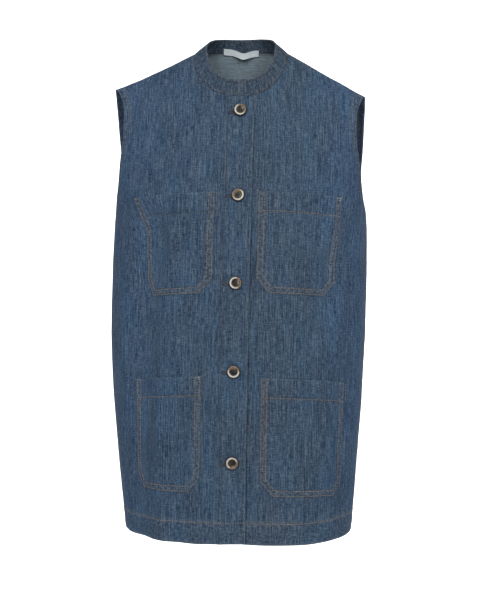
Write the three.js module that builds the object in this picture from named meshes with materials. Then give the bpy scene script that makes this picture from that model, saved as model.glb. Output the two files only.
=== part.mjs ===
// A long sleeveless denim vest with a band collar, five buttons and four patch pockets. It stands open and
// hollow, as if it were worn. Millimetres, +Z up, +X towards the wearer's left, the front faces -Y.
// The origin lies midway between the two points where the collar seam meets the shoulder seams.
import * as THREE from "three";

// Cloth
const CLOTH = 1.4; // wall of the panels
const HEM_WALL = 2.6; // the hem is turned up inside, so it is thicker
const BAND_WALL = 1.0; // the buttonhole band lies on the panel
const POCKET_WALL = 1.3;
const COLLAR_WALL = 2.2;
const LABEL_WALL = 1.0;
const SEAM_GAP = 0.3; // between neighbouring pieces
const NECK_GAP = 0.7; // between the collar and the panels

// Front opening
const OVERLAP = 19; // each front reaches this far past the centre line
const LAP_SHIFT = 1.6; // the upper front is raised by this, and the lower one sinks by it
const LAP_START = 20; // the cloth leaves its own line between these distances from the centre
const LAP_END = 34;
const BAND_INNER = 20; // the band's stitched edge, from the centre line
const BAND_TOP_Z = -72;
const HEM_DEPTH = 32;

// Buttons
const BUTTON_RADIUS = 9.5;
const BUTTON_SIDES = 16;
const BUTTON_GAP = 0.6; // above the band
const BUTTON_Z = [-96, -219, -343, -468, -597];

// Pockets. inner is measured along the cloth from the centre line to the pocket's nearer edge.
const POCKET_CUT_ACROSS = 18; // the lower corners are cut off
const POCKET_CUT_UP = 22;
const POCKETS = [
  { name: "pocket_chest_right", side: -1, inner: 33, width: 126, top: -213, height: 144 },
  { name: "pocket_chest_left", side: 1, inner: 29, width: 126, top: -213, height: 144 },
  { name: "pocket_hip_right", side: -1, inner: 46, width: 133, top: -474, height: 168 },
  { name: "pocket_hip_left", side: 1, inner: 39, width: 133, top: -477, height: 168 },
];

// Neck label: a ribbon fastened by its ends inside the collar seam
const LABEL_LENGTH = 59;
const LABEL_BELOW = 5.5; // its edges lie this far below and above the seam
const LABEL_ABOVE = 5;
const LABEL_BOW = 7; // its middle hangs this far forward
const LABEL_SAG = 3.5;
const LABEL_STEPS = 10;

// Rows of numbers under named columns become objects.
const table = (columns, rows) => rows.map((r) => Object.fromEntries(columns.map((c, i) => [c, r[i]])));

// The cloth of one half, from the front hem over the shoulder to the back hem. The inner end of a section
// lies on the centre line or the neckline, the outer end on the side seam, the armhole or the shoulder tip.
// bend is 1 for a quarter oval and 0 for a straight line. The vest hangs a little askew: innerShift and
// outerShift move the ends of both halves sideways.
const SECTION_COLUMNS = ["innerX", "innerY", "innerZ", "outerX", "outerY", "outerZ", "bend", "innerShift", "outerShift"];
const SECTIONS = table(SECTION_COLUMNS, [
  [0, -127, -712, 168.5, 6, -706, 1, -8, -4], // front hem
  [0, -129, -645, 174.5, 6, -642, 1, -7.5, -4.5],
  [0, -131, -565, 181.5, 6, -562, 1, -6.5, -5],
  [0, -132, -485, 187, 6, -484, 1, -5, -5],
  [0, -133, -405, 190, 6, -405, 1, -3.5, -4],
  [0, -133, -325, 190.5, 6, -325, 1, -1.5, -2.3],
  [0, -130, -252, 188.5, 6, -252, 1, 0.5, -1], // underarm
  [0, -124, -205, 181.5, -38, -212, 0.9, 1.7, -0.5],
  [0, -113, -155, 176, -47, -166, 0.75, 2.6, -0.3],
  [0, -96, -108, 172, -40, -124, 0.55, 3.2, -0.3],
  [0, -76, -71.5, 172.5, -28, -94, 0.42, 1.4, 0], // front of the neck
  [20, -74, -69.3, 175, -18, -80, 0.29, 1.4, 0],
  [38, -65, -61.5, 178.5, -10, -70, 0.2, 1.2, 0],
  [54, -50, -45.5, 182, -4, -63, 0.15, 0.9, -0.5],
  [66, -30, -24, 185.5, 0, -58.5, 0.08, 0.6, -1.2],
  [71, -2, 0, 187.8, 4, -57, 0, 0, -1.8], // shoulder seam
  [66, 26, 8, 188.3, 12, -60, 0.1, 0, -1.8],
  [54, 48, 12, 188.3, 22, -71, 0.25, 0, -1.8],
  [32, 62, 13.5, 188, 34, -88, 0.4, 0, -1.9],
  [0, 67, 13.5, 187.5, 45, -108, 0.5, 0, -2], // back of the neck
  [0, 84, -35, 185.5, 52, -140, 0.65, 0, -1.6],
  [0, 101, -95, 182, 54, -172, 0.8, 0, -0.2],
  [0, 114, -165, 184, 46, -210, 0.92, 0, -0.5],
  [0, 117, -252, 188.5, 6, -252, 1, -0.5, -1], // underarm
  [0, 114, -325, 190.5, 6, -325, 1, -1.5, -2.3],
  [0, 109, -405, 190, 6, -405, 1, -3, -4],
  [0, 109, -485, 187, 6, -484, 1, -4, -5],
  [0, 112, -565, 181.5, 6, -562, 1, -4.5, -5],
  [0, 115, -645, 174.5, 6, -642, 1, -4.5, -4.5],
  [0, 115, -709, 168.5, 6, -706, 1, -4.5, -4], // back hem
]);
const UNDERARM = 6;
const FRONT_NECK = 10;
const SHOULDER = 15;
const BACK_NECK = 19;
const BACK_UNDERARM = 23;
const BACK_HEM = SECTIONS.length - 1;
const OVAL = 0.67; // how square the ovals are; 0.55 would be a true ellipse
const RIGHT_TIP_LIFT = 7; // the right shoulder tip hangs higher than the left one
const LEFT_TIP_DROP = 5;
const LEFT_HEM_DROP = 5; // and the hem sags between the centre and the sides
const RIGHT_HEM_DROP = 2.5;
const RIGHT_CORNER_LIFT = 4.2; // the right front's hem rises towards the side
const GRAIN_SPAN = 150; // the weave sinks this much over this distance from the centre line
const GRAIN_DROP = 7;
const GRAIN_DROP_LOW = { "-1": -5, 1: 4 }; // and this much near the hem, on the right and on the left

// Large soft folds, each a trough (negative depth) or a ridge: across is measured from the centre line at
// the fold's top, lean is how much further out it lies at its foot, and take is the cloth it takes up.
const FOLD_COLUMNS = ["front", "side", "across", "lean", "top", "foot", "width", "depth", "take"];
const FOLDS = table(FOLD_COLUMNS, [
  [true, -1, 114, 30, -235, -709, 22, -8, 0],
  [true, -1, 114, 30, -245, -709, 22, 0, 24],
  [true, -1, 120, 24, -315, -709, 22, 0, 5],
  [true, -1, 170, 4, -250, -520, 18, 3, 0],
  [true, -1, 78, 2, -500, -690, 20, -7, 0],
  [true, -1, 60, 10, -330, -470, 26, 3, 0],
  [true, 1, 122, 6, -225, -400, 18, -5, 0],
  [true, 1, 122, 6, -285, -400, 18, 0, 8],
  [true, 1, 27, 3, -320, -600, 12, -3.5, 0],
  [true, 1, 70, 12, -360, -480, 30, 3, 0],
  [true, 1, 165, 6, -420, -680, 24, -4, 0],
  [true, 1, 95, 8, -600, -709, 26, 3, 0],
  [false, -1, 62, 12, -290, -690, 24, -6, 0],
  [false, 1, 78, -8, -250, -640, 26, -6, 0],
  [false, -1, 138, -10, -260, -520, 22, -6, 0],
  [false, 1, 146, 4, -270, -600, 22, -6, 0],
  [false, 1, 20, 6, -360, -709, 24, 4, 0],
  [false, -1, 110, 10, -480, -709, 24, 4, 0],
]);
const FOLD_EASE = 70; // a fold fades in and out over this height
const SEAM_EASE = 30; // and ends this far from the side seam
const HEM_FOLD_Z = -680; // a fold whose foot lies lower than this runs on through the hem

// The collar's upper edge, one row for each section from the front of the neck to the back of it.
const COLLAR_COLUMNS = ["topX", "topY", "topZ"];
const COLLAR_TOP = table(COLLAR_COLUMNS, [
  [0, -67, -46],
  [16, -64, -44.3],
  [30, -55, -37.2],
  [42, -40, -24],
  [49.5, -22, -6],
  [52, 2, 15],
  [48, 26, 26],
  [39, 44, 31.5],
  [24, 56, 33.5],
  [0, 61, 33.5],
]);
const COLLAR_ROWS = 2;
const COLLAR_END_GAP = 1.2; // between the collar's two ends

// Grids
const COLUMNS = 13; // in each front and each half of the back
const OVERLAP_COLUMNS = 2;
const ROWS_BETWEEN = 2; // grid rows from one section to the next

const clamp = (v, lo, hi) => Math.min(hi, Math.max(lo, v));
const mix = (a, b, t) => a + (b - a) * t;
function ease(from, to, v) {
  const t = clamp((v - from) / (to - from), 0, 1);
  return t * t * (3 - 2 * t);
}

// Slope at knot i of a curve through values that never overshoots them.
function knotSlope(values, i) {
  if (i === 0) return values[1] - values[0];
  if (i === values.length - 1) return values[i] - values[i - 1];
  const before = values[i] - values[i - 1];
  const after = values[i + 1] - values[i];
  return before * after <= 0 ? 0 : (2 * before * after) / (before + after);
}

// Smooth value at position t along evenly numbered knots.
function along(values, t) {
  const i = clamp(Math.floor(t), 0, values.length - 2);
  const f = t - i;
  const m0 = knotSlope(values, i);
  const m1 = knotSlope(values, i + 1);
  const [a, b] = [values[i], values[i + 1]];
  return (
    (2 * f ** 3 - 3 * f ** 2 + 1) * a +
    (f ** 3 - 2 * f ** 2 + f) * m0 +
    (3 * f ** 2 - 2 * f ** 3) * b +
    (f ** 3 - f ** 2) * m1
  );
}
const column = (rows, name) => rows.map((r) => r[name]);
const SECTION_VALUES = Object.fromEntries(SECTION_COLUMNS.map((c) => [c, column(SECTIONS, c)]));

// The values on the neckline go on past the centre line as their own mirror image.
function ringValues(values, odd) {
  const sign = odd ? -1 : 1;
  return [sign * values[1], ...values, sign * values.at(-2)];
}
const neckRows = SECTIONS.slice(FRONT_NECK, BACK_NECK + 1);
const RING = {};
for (const c of SECTION_COLUMNS) RING[c] = ringValues(column(neckRows, c), c === "innerX");
for (const c of COLLAR_COLUMNS) RING[c] = ringValues(column(COLLAR_TOP, c), c === "topX");
const onRing = (name, level) => along(RING[name], level - FRONT_NECK + 1);

// An inner end below the neck follows the centre line, and otherwise the neckline.
function valueAt(name, level) {
  const inner = name.startsWith("inner");
  if (!inner) return along(SECTION_VALUES[name], level);
  if (level >= FRONT_NECK && level <= BACK_NECK) return onRing(name, level);
  const [from, to] = level < FRONT_NECK ? [0, FRONT_NECK] : [BACK_NECK, BACK_HEM];
  return along(SECTION_VALUES[name].slice(from, to + 1), level - from);
}

// One section as a cubic curve with its length measured, so that points can be placed by distance.
const LENGTH_STEPS = 40;
const sectionCache = new Map();
function sectionAt(level) {
  if (sectionCache.has(level)) return sectionCache.get(level);
  const v = Object.fromEntries(SECTION_COLUMNS.map((c) => [c, valueAt(c, level)]));
  const inner = new THREE.Vector3(v.innerX, v.innerY, v.innerZ);
  const outer = new THREE.Vector3(v.outerX, v.outerY, v.outerZ);
  const d = outer.clone().sub(inner);
  const third = 1 / 3;
  const near = new THREE.Vector3(mix(third, OVAL, v.bend), mix(third, 0, v.bend), mix(third, 0, v.bend));
  const far = new THREE.Vector3(mix(third, 0, v.bend), mix(third, OVAL, v.bend), mix(third, 0, v.bend));
  const curve = new THREE.CubicBezierCurve3(
    inner,
    inner.clone().add(near.multiply(d)),
    outer.clone().sub(far.multiply(d)),
    outer,
  );
  const lengths = curve.getLengths(LENGTH_STEPS);
  const made = { curve, lengths, length: lengths[LENGTH_STEPS], start: v.innerX, v };
  sectionCache.set(level, made);
  return made;
}

// Point of the smooth form at a level and a share of the section's length. A negative share crosses the
// centre line onto the other half.
function formPoint(level, share) {
  const { curve, lengths, length } = sectionAt(level);
  const wanted = Math.abs(share) * length;
  let i = 0;
  while (i < LENGTH_STEPS - 1 && lengths[i + 1] < wanted) i += 1;
  const t = (i + (wanted - lengths[i]) / (lengths[i + 1] - lengths[i])) / LENGTH_STEPS;
  const p = curve.getPoint(Math.min(t, 1));
  if (t > 1) p.addScaledVector(curve.getTangent(1), wanted - length);
  if (share < 0) p.x = -p.x;
  return p;
}

const STEP_SHARE = 0.004;

// Strength of a fold at a height, and how far out from it a place on the cloth lies, in fold widths.
function foldAt(f, side, across, z) {
  const centre = f.across + f.lean * clamp((f.top - z) / (f.top - f.foot), 0, 1);
  const rising = ease(f.top + FOLD_EASE / 2, f.top - FOLD_EASE / 2, z);
  const falling = f.foot < HEM_FOLD_Z ? 1 : ease(f.foot - FOLD_EASE / 2, f.foot + FOLD_EASE / 2, z);
  return { off: (f.side * side * across - centre) / f.width, strength: rising * falling };
}

// How far the folds move the cloth out, edge being the section's length.
function foldDepth(front, side, across, z, edge) {
  let total = 0;
  for (const f of FOLDS) {
    if (f.front !== front) continue;
    const { off, strength } = foldAt(f, side, across, z);
    total += f.depth * strength * Math.exp(-off * off);
  }
  return total * ease(0, SEAM_EASE, edge - across);
}

// Cloth taken up by the folds between the centre line and a place.
function takenUp(side, across, z) {
  let total = 0;
  for (const f of FOLDS) {
    if (!f.take || f.side !== side) continue;
    const { off, strength } = foldAt(f, side, across, z);
    total += f.take * strength * ease(-1, 1, off);
  }
  return total;
}

// Rising and sinking of the two fronts where they overlap.
function lapShift(side, across) {
  return -side * LAP_SHIFT * ease(LAP_END, LAP_START, across);
}

// Level direction pointing out of the vest, square to the section.
const UP = new THREE.Vector3(0, 0, 1);
function outwardAt(level, share) {
  const before = formPoint(level, level > FRONT_NECK ? Math.max(share - STEP_SHARE, 0) : share - STEP_SHARE);
  const t = formPoint(level, share + STEP_SHARE).sub(before);
  return t.cross(UP).normalize().multiplyScalar(level < SHOULDER ? 1 : -1);
}

// Point of the vest's outer face. side is 1 for the wearer's left half and -1 for the right.
function clothPoint(side, level, share) {
  const p = formPoint(level, share);
  const section = sectionAt(level);
  const across = section.start + share * section.length;
  const front = level < SHOULDER;
  let out = foldDepth(front, side, across, p.z, section.start + section.length);
  if (front) out += lapShift(side, across);
  p.addScaledVector(outwardAt(level, share), out);
  const { innerShift, outerShift, outerX } = section.v;
  const upper = front ? ease(UNDERARM, SHOULDER, level) : ease(BACK_UNDERARM, SHOULDER, level);
  const reach = clamp(share, 0, 1);
  p.z += side > 0 ? -LEFT_TIP_DROP * upper * reach * (2 - reach) : RIGHT_TIP_LIFT * upper * reach ** 2;
  const sag = side > 0 ? LEFT_HEM_DROP : RIGHT_HEM_DROP;
  if (front) p.z -= sag * ease(3, 0, level) * Math.sin(Math.PI * reach);
  if (front && side < 0) p.z += RIGHT_CORNER_LIFT * ease(1.5, 0, level) * Math.sin(Math.PI * reach ** 3);
  p.x = side * p.x + mix(outerShift, innerShift, 1 - (p.x / outerX) ** 2);
  return p;
}

// Vertex of a panel, with its place on the cloth: across from the centre line, and down along the weave.
function clothVertex(side, level, share) {
  const p = clothPoint(side, level, share);
  const section = sectionAt(level);
  const across = section.start + share * section.length;
  return {
    p,
    across: across + takenUp(side, across, p.z),
    down: p.z + mix(GRAIN_DROP, GRAIN_DROP_LOW[side], ease(-480, -640, p.z)) * clamp(across / GRAIN_SPAN, 0, 1.3) ** 2,
    level,
  };
}

// Triangles of a grid of vertices. A missing vertex leaves a hole. flip turns the faces round.
function gridSurface(grid, flip) {
  const faces = [];
  for (let i = 0; i + 1 < grid.length; i += 1) {
    for (let j = 0; j + 1 < grid[i].length; j += 1) {
      const corners = [grid[i][j], grid[i][j + 1], grid[i + 1][j + 1], grid[i + 1][j]];
      if (corners.some((c) => !c)) continue;
      const [a, b, c, d] = flip ? corners.reverse() : corners;
      faces.push([a, b, c], [a, c, d]);
    }
  }
  return faces;
}

const keyOf = (v) => [v.p.x, v.p.y, v.p.z].map((c) => Math.round(c * 1e4)).join();

// Every vertex gets the mean normal of the faces that meet in its place.
function withNormals(faces) {
  const sums = new Map();
  for (const [a, b, c] of faces) {
    const n = b.p.clone().sub(a.p).cross(c.p.clone().sub(a.p));
    for (const v of [a, b, c]) {
      if (!sums.has(keyOf(v))) sums.set(keyOf(v), new THREE.Vector3());
      sums.get(keyOf(v)).add(n);
    }
  }
  for (const v of faces.flat()) v.n = sums.get(keyOf(v)).clone().normalize();
  return faces;
}

// Closed wall between two offsets of a surface, each a distance or a function of the vertex.
function wall(faces, outer, inner) {
  const offsetOf = (offset, v) => (typeof offset === "function" ? offset(v) : offset);
  const index = new Map();
  const positions = [];
  const idOf = (v) => {
    const key = keyOf(v);
    if (!index.has(key)) {
      index.set(key, index.size);
      for (const offset of [outer, inner]) {
        const q = v.p.clone().addScaledVector(v.n, offsetOf(offset, v));
        positions.push(q.x, q.y, q.z);
      }
    }
    return 2 * index.get(key);
  };
  const triangles = [];
  const edges = new Map();
  for (const face of faces) {
    const ids = face.map(idOf);
    if (new Set(ids).size < 3) continue;
    triangles.push(ids[0], ids[1], ids[2], ids[2] + 1, ids[1] + 1, ids[0] + 1);
    ids.forEach((a, k) => {
      const b = ids[(k + 1) % 3];
      if (edges.has(`${b},${a}`)) edges.delete(`${b},${a}`);
      else edges.set(`${a},${b}`, [a, b]);
    });
  }
  for (const [a, b] of edges.values()) triangles.push(b, a, a + 1, b, a + 1, b + 1);
  const geometry = new THREE.BufferGeometry();
  geometry.setAttribute("position", new THREE.Float32BufferAttribute(positions, 3));
  geometry.setIndex(triangles);
  return geometry;
}

// The part of a surface inside a convex outline drawn on the cloth, its corners anticlockwise as (across, down).
const ON_LINE = 0.5;
function clipSurface(faces, outline) {
  let kept = faces;
  outline.forEach(([x0, z0], k) => {
    const [x1, z1] = outline[(k + 1) % outline.length];
    const size = Math.hypot(x1 - x0, z1 - z0);
    const inside = (v) => {
      const d = ((x1 - x0) * (v.down - z0) - (z1 - z0) * (v.across - x0)) / size;
      return Math.abs(d) < ON_LINE ? 0 : d;
    };
    kept = kept.flatMap((face) => clipFace(face, inside));
  });
  return kept;
}

function clipFace(face, inside) {
  const polygon = [];
  face.forEach((a, k) => {
    const b = face[(k + 1) % 3];
    const [da, db] = [inside(a), inside(b)];
    if (da >= 0) polygon.push(a);
    if (da * db < 0) polygon.push(between(a, b, da / (da - db)));
  });
  const made = [];
  for (let k = 1; k + 1 < polygon.length; k += 1) made.push([polygon[0], polygon[k], polygon[k + 1]]);
  return made.filter((t) => areaOf(t) > 1e-3);
}

// The point between two vertices is worked out the same way whichever of them comes first.
function between(a, b, t) {
  if (a.p.x > b.p.x || (a.p.x === b.p.x && a.p.z > b.p.z)) return between(b, a, 1 - t);
  return {
    p: a.p.clone().lerp(b.p, t),
    n: a.n.clone().lerp(b.n, t).normalize(),
    across: mix(a.across, b.across, t),
    down: mix(a.down, b.down, t),
    level: mix(a.level, b.level, t),
  };
}

function areaOf([a, b, c]) {
  return b.p.clone().sub(a.p).cross(c.p.clone().sub(a.p)).length() / 2;
}

function levelsBetween(from, to) {
  const count = (to - from) * ROWS_BETWEEN;
  return Array.from({ length: count + 1 }, (_, k) => from + k / ROWS_BETWEEN);
}

// The hem is HEM_DEPTH high, and the first two sections are this far apart.
const FIRST_GAP = SECTIONS[1].innerZ - SECTIONS[0].innerZ;
const HEM_LEVEL = HEM_DEPTH / FIRST_GAP;
const HEM_STEP = 0.01;
const isHem = (v) => Math.min(v.level, BACK_HEM - v.level) < HEM_LEVEL;
const panelInner = (v) => -(isHem(v) ? HEM_WALL : CLOTH);
function withHemRows(levels) {
  const near = [HEM_LEVEL - HEM_STEP, HEM_LEVEL + HEM_STEP];
  const hems = [...near, ...near.map((l) => BACK_HEM - l)].filter((l) => l > levels[0] && l < levels.at(-1));
  const clear = levels.filter((l) => hems.every((h) => Math.abs(h - l) > 0.12));
  return clear.concat(hems).sort((a, b) => a - b);
}

// The vertices of one half of a panel, row by row, starting beyond the centre line on a front.
function panelGrid(side, from, to) {
  return withHemRows(levelsBetween(from, to)).map((level) => {
    const row = [];
    for (let j = from === 0 ? -OVERLAP_COLUMNS : 0; j <= COLUMNS; j += 1) {
      const share = j < 0 ? (j * OVERLAP) / OVERLAP_COLUMNS / sectionAt(level).length : j / COLUMNS;
      row.push(j < 0 && level > FRONT_NECK ? null : clothVertex(side, level, share));
    }
    return row;
  });
}

// Draws the edges that are sewn to a neighbour back by half the gap between them.
function openSeams(grid) {
  const moves = [];
  const shoulderRow = grid.findIndex((row) => row.at(-1).level === SHOULDER);
  const rowBeside = shoulderRow === 0 ? 1 : shoulderRow - 1;
  grid[shoulderRow].forEach((v, j) => v && moves.push([v, grid[rowBeside][j]]));
  for (const row of grid) {
    const { level } = row.at(-1);
    if (level <= UNDERARM || level >= BACK_UNDERARM) moves.push([row.at(-1), row.at(-2)]);
  }
  const steps = moves.map(([v, towards]) => towards.p.clone().sub(v.p).setLength(SEAM_GAP / 2));
  moves.forEach(([v], k) => v.p.add(steps[k]));
}

function makePanels() {
  const grids = {
    frontRight: panelGrid(-1, 0, SHOULDER),
    frontLeft: panelGrid(1, 0, SHOULDER),
    backRight: panelGrid(-1, SHOULDER, BACK_HEM),
    backLeft: panelGrid(1, SHOULDER, BACK_HEM),
  };
  const faces = Object.fromEntries(
    Object.entries(grids).map(([name, grid]) => [name, gridSurface(grid, name.endsWith("Right"))]),
  );
  withNormals([...faces.frontRight, ...faces.backRight, ...faces.frontLeft, ...faces.backLeft]);
  Object.values(grids).forEach(openSeams);
  return { "-1": faces.frontRight, 1: faces.frontLeft, back: [...faces.backLeft, ...faces.backRight] };
}

// Corners of a pocket on the cloth, with its two lower corners cut off.
function pocketOutline({ inner, width, top, height }) {
  const [outer, foot] = [inner + width, top - height];
  return [
    [inner, foot + POCKET_CUT_UP],
    [inner + POCKET_CUT_ACROSS, foot],
    [outer - POCKET_CUT_ACROSS, foot],
    [outer, foot + POCKET_CUT_UP],
    [outer, top],
    [inner, top],
  ];
}

// A piece lying on a panel, made from the panel's own points.
function laidOn(faces, outline, thickness) {
  return wall(clipSurface(faces, outline), SEAM_GAP + thickness, SEAM_GAP);
}

// Point of the collar band: walk is 0 at the centre back and 1 or -1 at the centre front, and rise goes
// from the seam to the top.
function collarPoint(walk, rise) {
  const level = BACK_NECK - Math.abs(walk) * (BACK_NECK - FRONT_NECK);
  const at = (name) => onRing(name, level);
  const follow = level < SHOULDER ? lapShift(Math.sign(walk), at("innerX")) * (1 - rise) : 0;
  return new THREE.Vector3(
    Math.sign(walk) * mix(at("innerX"), at("topX"), rise) + at("innerShift"),
    mix(at("innerY"), at("topY"), rise) - follow,
    mix(at("innerZ"), at("topZ"), rise),
  );
}

function collarVertex(walk, rise) {
  const step = 0.004;
  const along = collarPoint(walk + step, rise).sub(collarPoint(walk - step, rise));
  const up = collarPoint(walk, rise + step).sub(collarPoint(walk, rise - step));
  const p = collarPoint(walk, rise);
  return { p, n: up.cross(along).normalize() };
}

const COLLAR_HEIGHT = collarPoint(0, 0).distanceTo(collarPoint(0, 1));
function collarSurface() {
  const steps = (BACK_NECK - FRONT_NECK) * ROWS_BETWEEN;
  const endWalk = 1 - COLLAR_END_GAP / 2 / SECTIONS[FRONT_NECK + 1].innerX / (BACK_NECK - FRONT_NECK);
  const grid = [];
  for (let i = -steps; i <= steps; i += 1) {
    const walk = clamp(i / steps, -endWalk, endWalk);
    const row = [];
    for (let j = 0; j <= COLLAR_ROWS; j += 1) {
      row.push(collarVertex(walk, Math.max(j / COLLAR_ROWS, NECK_GAP / COLLAR_HEIGHT)));
    }
    grid.push(row);
  }
  return gridSurface(grid, false);
}

// The label follows the inside of the collar and hangs away from it in its middle.
function labelSurface() {
  const grid = [];
  const stepLength = collarPoint(0.02, 0).distanceTo(collarPoint(-0.02, 0)) / 0.04;
  for (let i = -LABEL_STEPS; i <= LABEL_STEPS; i += 1) {
    const t = i / LABEL_STEPS;
    const hang = (1 - t * t) ** 1.5;
    const row = [-LABEL_BELOW, LABEL_ABOVE].map((height) => {
      const v = collarVertex((t * LABEL_LENGTH) / 2 / stepLength, (height - LABEL_SAG * hang) / COLLAR_HEIGHT);
      v.p.addScaledVector(v.n, -COLLAR_WALL - SEAM_GAP - LABEL_BOW * hang);
      return v;
    });
    grid.push(row);
  }
  return gridSurface(grid, false);
}

// The level at which the centre line of the front reaches a height.
function levelOf(z) {
  let [low, high] = [0, FRONT_NECK];
  for (let i = 0; i < 30; i += 1) {
    const middle = (low + high) / 2;
    if (clothPoint(-1, middle, 0).z < z) low = middle;
    else high = middle;
  }
  return low;
}

// A dished button with a raised rim, standing on the buttonhole band.
const BUTTON_PROFILE = [
  [0, 0],
  [BUTTON_RADIUS - 1.2, 0],
  [BUTTON_RADIUS, 0.9],
  [BUTTON_RADIUS, 2.1],
  [BUTTON_RADIUS - 1, 3],
  [BUTTON_RADIUS - 2.2, 3],
  [BUTTON_RADIUS - 3.6, 2],
  [0, 2],
];
function buttonGeometry(z) {
  const profile = BUTTON_PROFILE.map(([r, h]) => new THREE.Vector2(r, h));
  const geometry = new THREE.LatheGeometry(profile, BUTTON_SIDES);
  const level = levelOf(z);
  const p = clothPoint(-1, level, 0);
  const up = clothPoint(-1, level + 0.02, 0).sub(clothPoint(-1, level - 0.02, 0));
  const n = new THREE.Vector3(-1, 0, 0).cross(up).multiplyScalar(-1).normalize();
  const turn = new THREE.Quaternion().setFromUnitVectors(new THREE.Vector3(0, 1, 0), n);
  const foot = p.addScaledVector(n, SEAM_GAP + BAND_WALL + BUTTON_GAP);
  geometry.applyQuaternion(turn);
  geometry.translate(foot.x, foot.y, foot.z);
  return geometry;
}

const DENIM = new THREE.Color(0.06, 0.09, 0.135);
const cloth = (tone) =>
  new THREE.MeshStandardMaterial({
    color: DENIM.clone().multiplyScalar(tone),
    roughness: 0.95,
    metalness: 0,
    side: THREE.DoubleSide,
  });

const HORN = new THREE.MeshStandardMaterial({ color: new THREE.Color(0.45, 0.33, 0.18), roughness: 0.35 });
const WOVEN = new THREE.MeshStandardMaterial({ color: new THREE.Color(0.75, 0.77, 0.77), roughness: 0.9 });

const vest = new THREE.Group();
function add(name, geometry, material) {
  geometry.computeVertexNormals();
  const mesh = new THREE.Mesh(geometry, material);
  mesh.name = name;
  vest.add(mesh);
  return mesh;
}

const panels = makePanels();
add("front_right", wall(panels[-1], 0, panelInner), cloth(1));
add("front_left", wall(panels[1], 0, panelInner), cloth(1));
add("back", wall(panels.back, 0, panelInner), cloth(1));

const BAND_OUTLINE = [
  [-OVERLAP, SECTIONS[0].innerZ - 5],
  [BAND_INNER, SECTIONS[0].innerZ - 5],
  [BAND_INNER, BAND_TOP_Z],
  [-OVERLAP, BAND_TOP_Z],
];
add("buttonhole_band", laidOn(panels[-1], BAND_OUTLINE, BAND_WALL), cloth(0.95));

for (const pocket of POCKETS) {
  add(pocket.name, laidOn(panels[pocket.side], pocketOutline(pocket), POCKET_WALL), cloth(0.95));
}

add("collar", wall(collarSurface(), 0, -COLLAR_WALL), cloth(0.95));
BUTTON_Z.forEach((z, k) => add(`button_${k + 1}`, buttonGeometry(z), HORN));
add("neck_label", wall(labelSurface(), 0, -LABEL_WALL), WOVEN);

export default vest;
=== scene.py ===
"""A long sleeveless denim vest with a band collar, five buttons and four patch pockets, hollow as if worn.
The cloth is made in millimetres from the same sections as the CAD model, then written in metres."""

import math

import bpy
import numpy as np
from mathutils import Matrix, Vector


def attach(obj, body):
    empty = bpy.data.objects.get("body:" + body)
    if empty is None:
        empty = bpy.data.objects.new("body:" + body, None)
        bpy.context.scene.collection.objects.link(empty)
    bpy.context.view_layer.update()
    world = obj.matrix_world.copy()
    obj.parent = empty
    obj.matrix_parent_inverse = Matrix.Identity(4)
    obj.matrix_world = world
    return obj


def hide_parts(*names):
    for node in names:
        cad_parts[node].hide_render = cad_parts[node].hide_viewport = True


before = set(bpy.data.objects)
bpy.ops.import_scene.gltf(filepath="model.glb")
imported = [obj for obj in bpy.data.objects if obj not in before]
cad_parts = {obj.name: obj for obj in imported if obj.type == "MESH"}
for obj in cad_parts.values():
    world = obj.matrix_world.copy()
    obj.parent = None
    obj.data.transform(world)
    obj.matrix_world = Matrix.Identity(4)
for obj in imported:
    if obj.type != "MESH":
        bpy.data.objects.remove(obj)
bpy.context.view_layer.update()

# ---------------------------------------------------------------- the form, as in the CAD model

# One half of the cloth from the front hem over the shoulder to the back hem: inner x y z, outer x y z, bend,
# and the sideways shift of the inner and the outer end.
SECTIONS = np.array([
    [0, -127, -712, 168.5, 6, -706, 1, -8, -4],
    [0, -129, -645, 174.5, 6, -642, 1, -7.5, -4.5],
    [0, -131, -565, 181.5, 6, -562, 1, -6.5, -5],
    [0, -132, -485, 187, 6, -484, 1, -5, -5],
    [0, -133, -405, 190, 6, -405, 1, -3.5, -4],
    [0, -133, -325, 190.5, 6, -325, 1, -1.5, -2.3],
    [0, -130, -252, 188.5, 6, -252, 1, 0.5, -1],
    [0, -124, -205, 181.5, -38, -212, 0.9, 1.7, -0.5],
    [0, -113, -155, 176, -47, -166, 0.75, 2.6, -0.3],
    [0, -96, -108, 172, -40, -124, 0.55, 3.2, -0.3],
    [0, -76, -71.5, 172.5, -28, -94, 0.42, 1.4, 0],
    [20, -74, -69.3, 175, -18, -80, 0.29, 1.4, 0],
    [38, -65, -61.5, 178.5, -10, -70, 0.2, 1.2, 0],
    [54, -50, -45.5, 182, -4, -63, 0.15, 0.9, -0.5],
    [66, -30, -24, 185.5, 0, -58.5, 0.08, 0.6, -1.2],
    [71, -2, 0, 187.8, 4, -57, 0, 0, -1.8],
    [66, 26, 8, 188.3, 12, -60, 0.1, 0, -1.8],
    [54, 48, 12, 188.3, 22, -71, 0.25, 0, -1.8],
    [32, 62, 13.5, 188, 34, -88, 0.4, 0, -1.9],
    [0, 67, 13.5, 187.5, 45, -108, 0.5, 0, -2],
    [0, 84, -35, 185.5, 52, -140, 0.65, 0, -1.6],
    [0, 101, -95, 182, 54, -172, 0.8, 0, -0.2],
    [0, 114, -165, 184, 46, -210, 0.92, 0, -0.5],
    [0, 117, -252, 188.5, 6, -252, 1, -0.5, -1],
    [0, 114, -325, 190.5, 6, -325, 1, -1.5, -2.3],
    [0, 109, -405, 190, 6, -405, 1, -3, -4],
    [0, 109, -485, 187, 6, -484, 1, -4, -5],
    [0, 112, -565, 181.5, 6, -562, 1, -4.5, -5],
    [0, 115, -645, 174.5, 6, -642, 1, -4.5, -4.5],
    [0, 115, -709, 168.5, 6, -706, 1, -4.5, -4],
], float)
UNDERARM, FRONT_NECK, SHOULDER, BACK_NECK, BACK_UNDERARM, BACK_HEM = 6, 10, 15, 19, 23, 29
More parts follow.
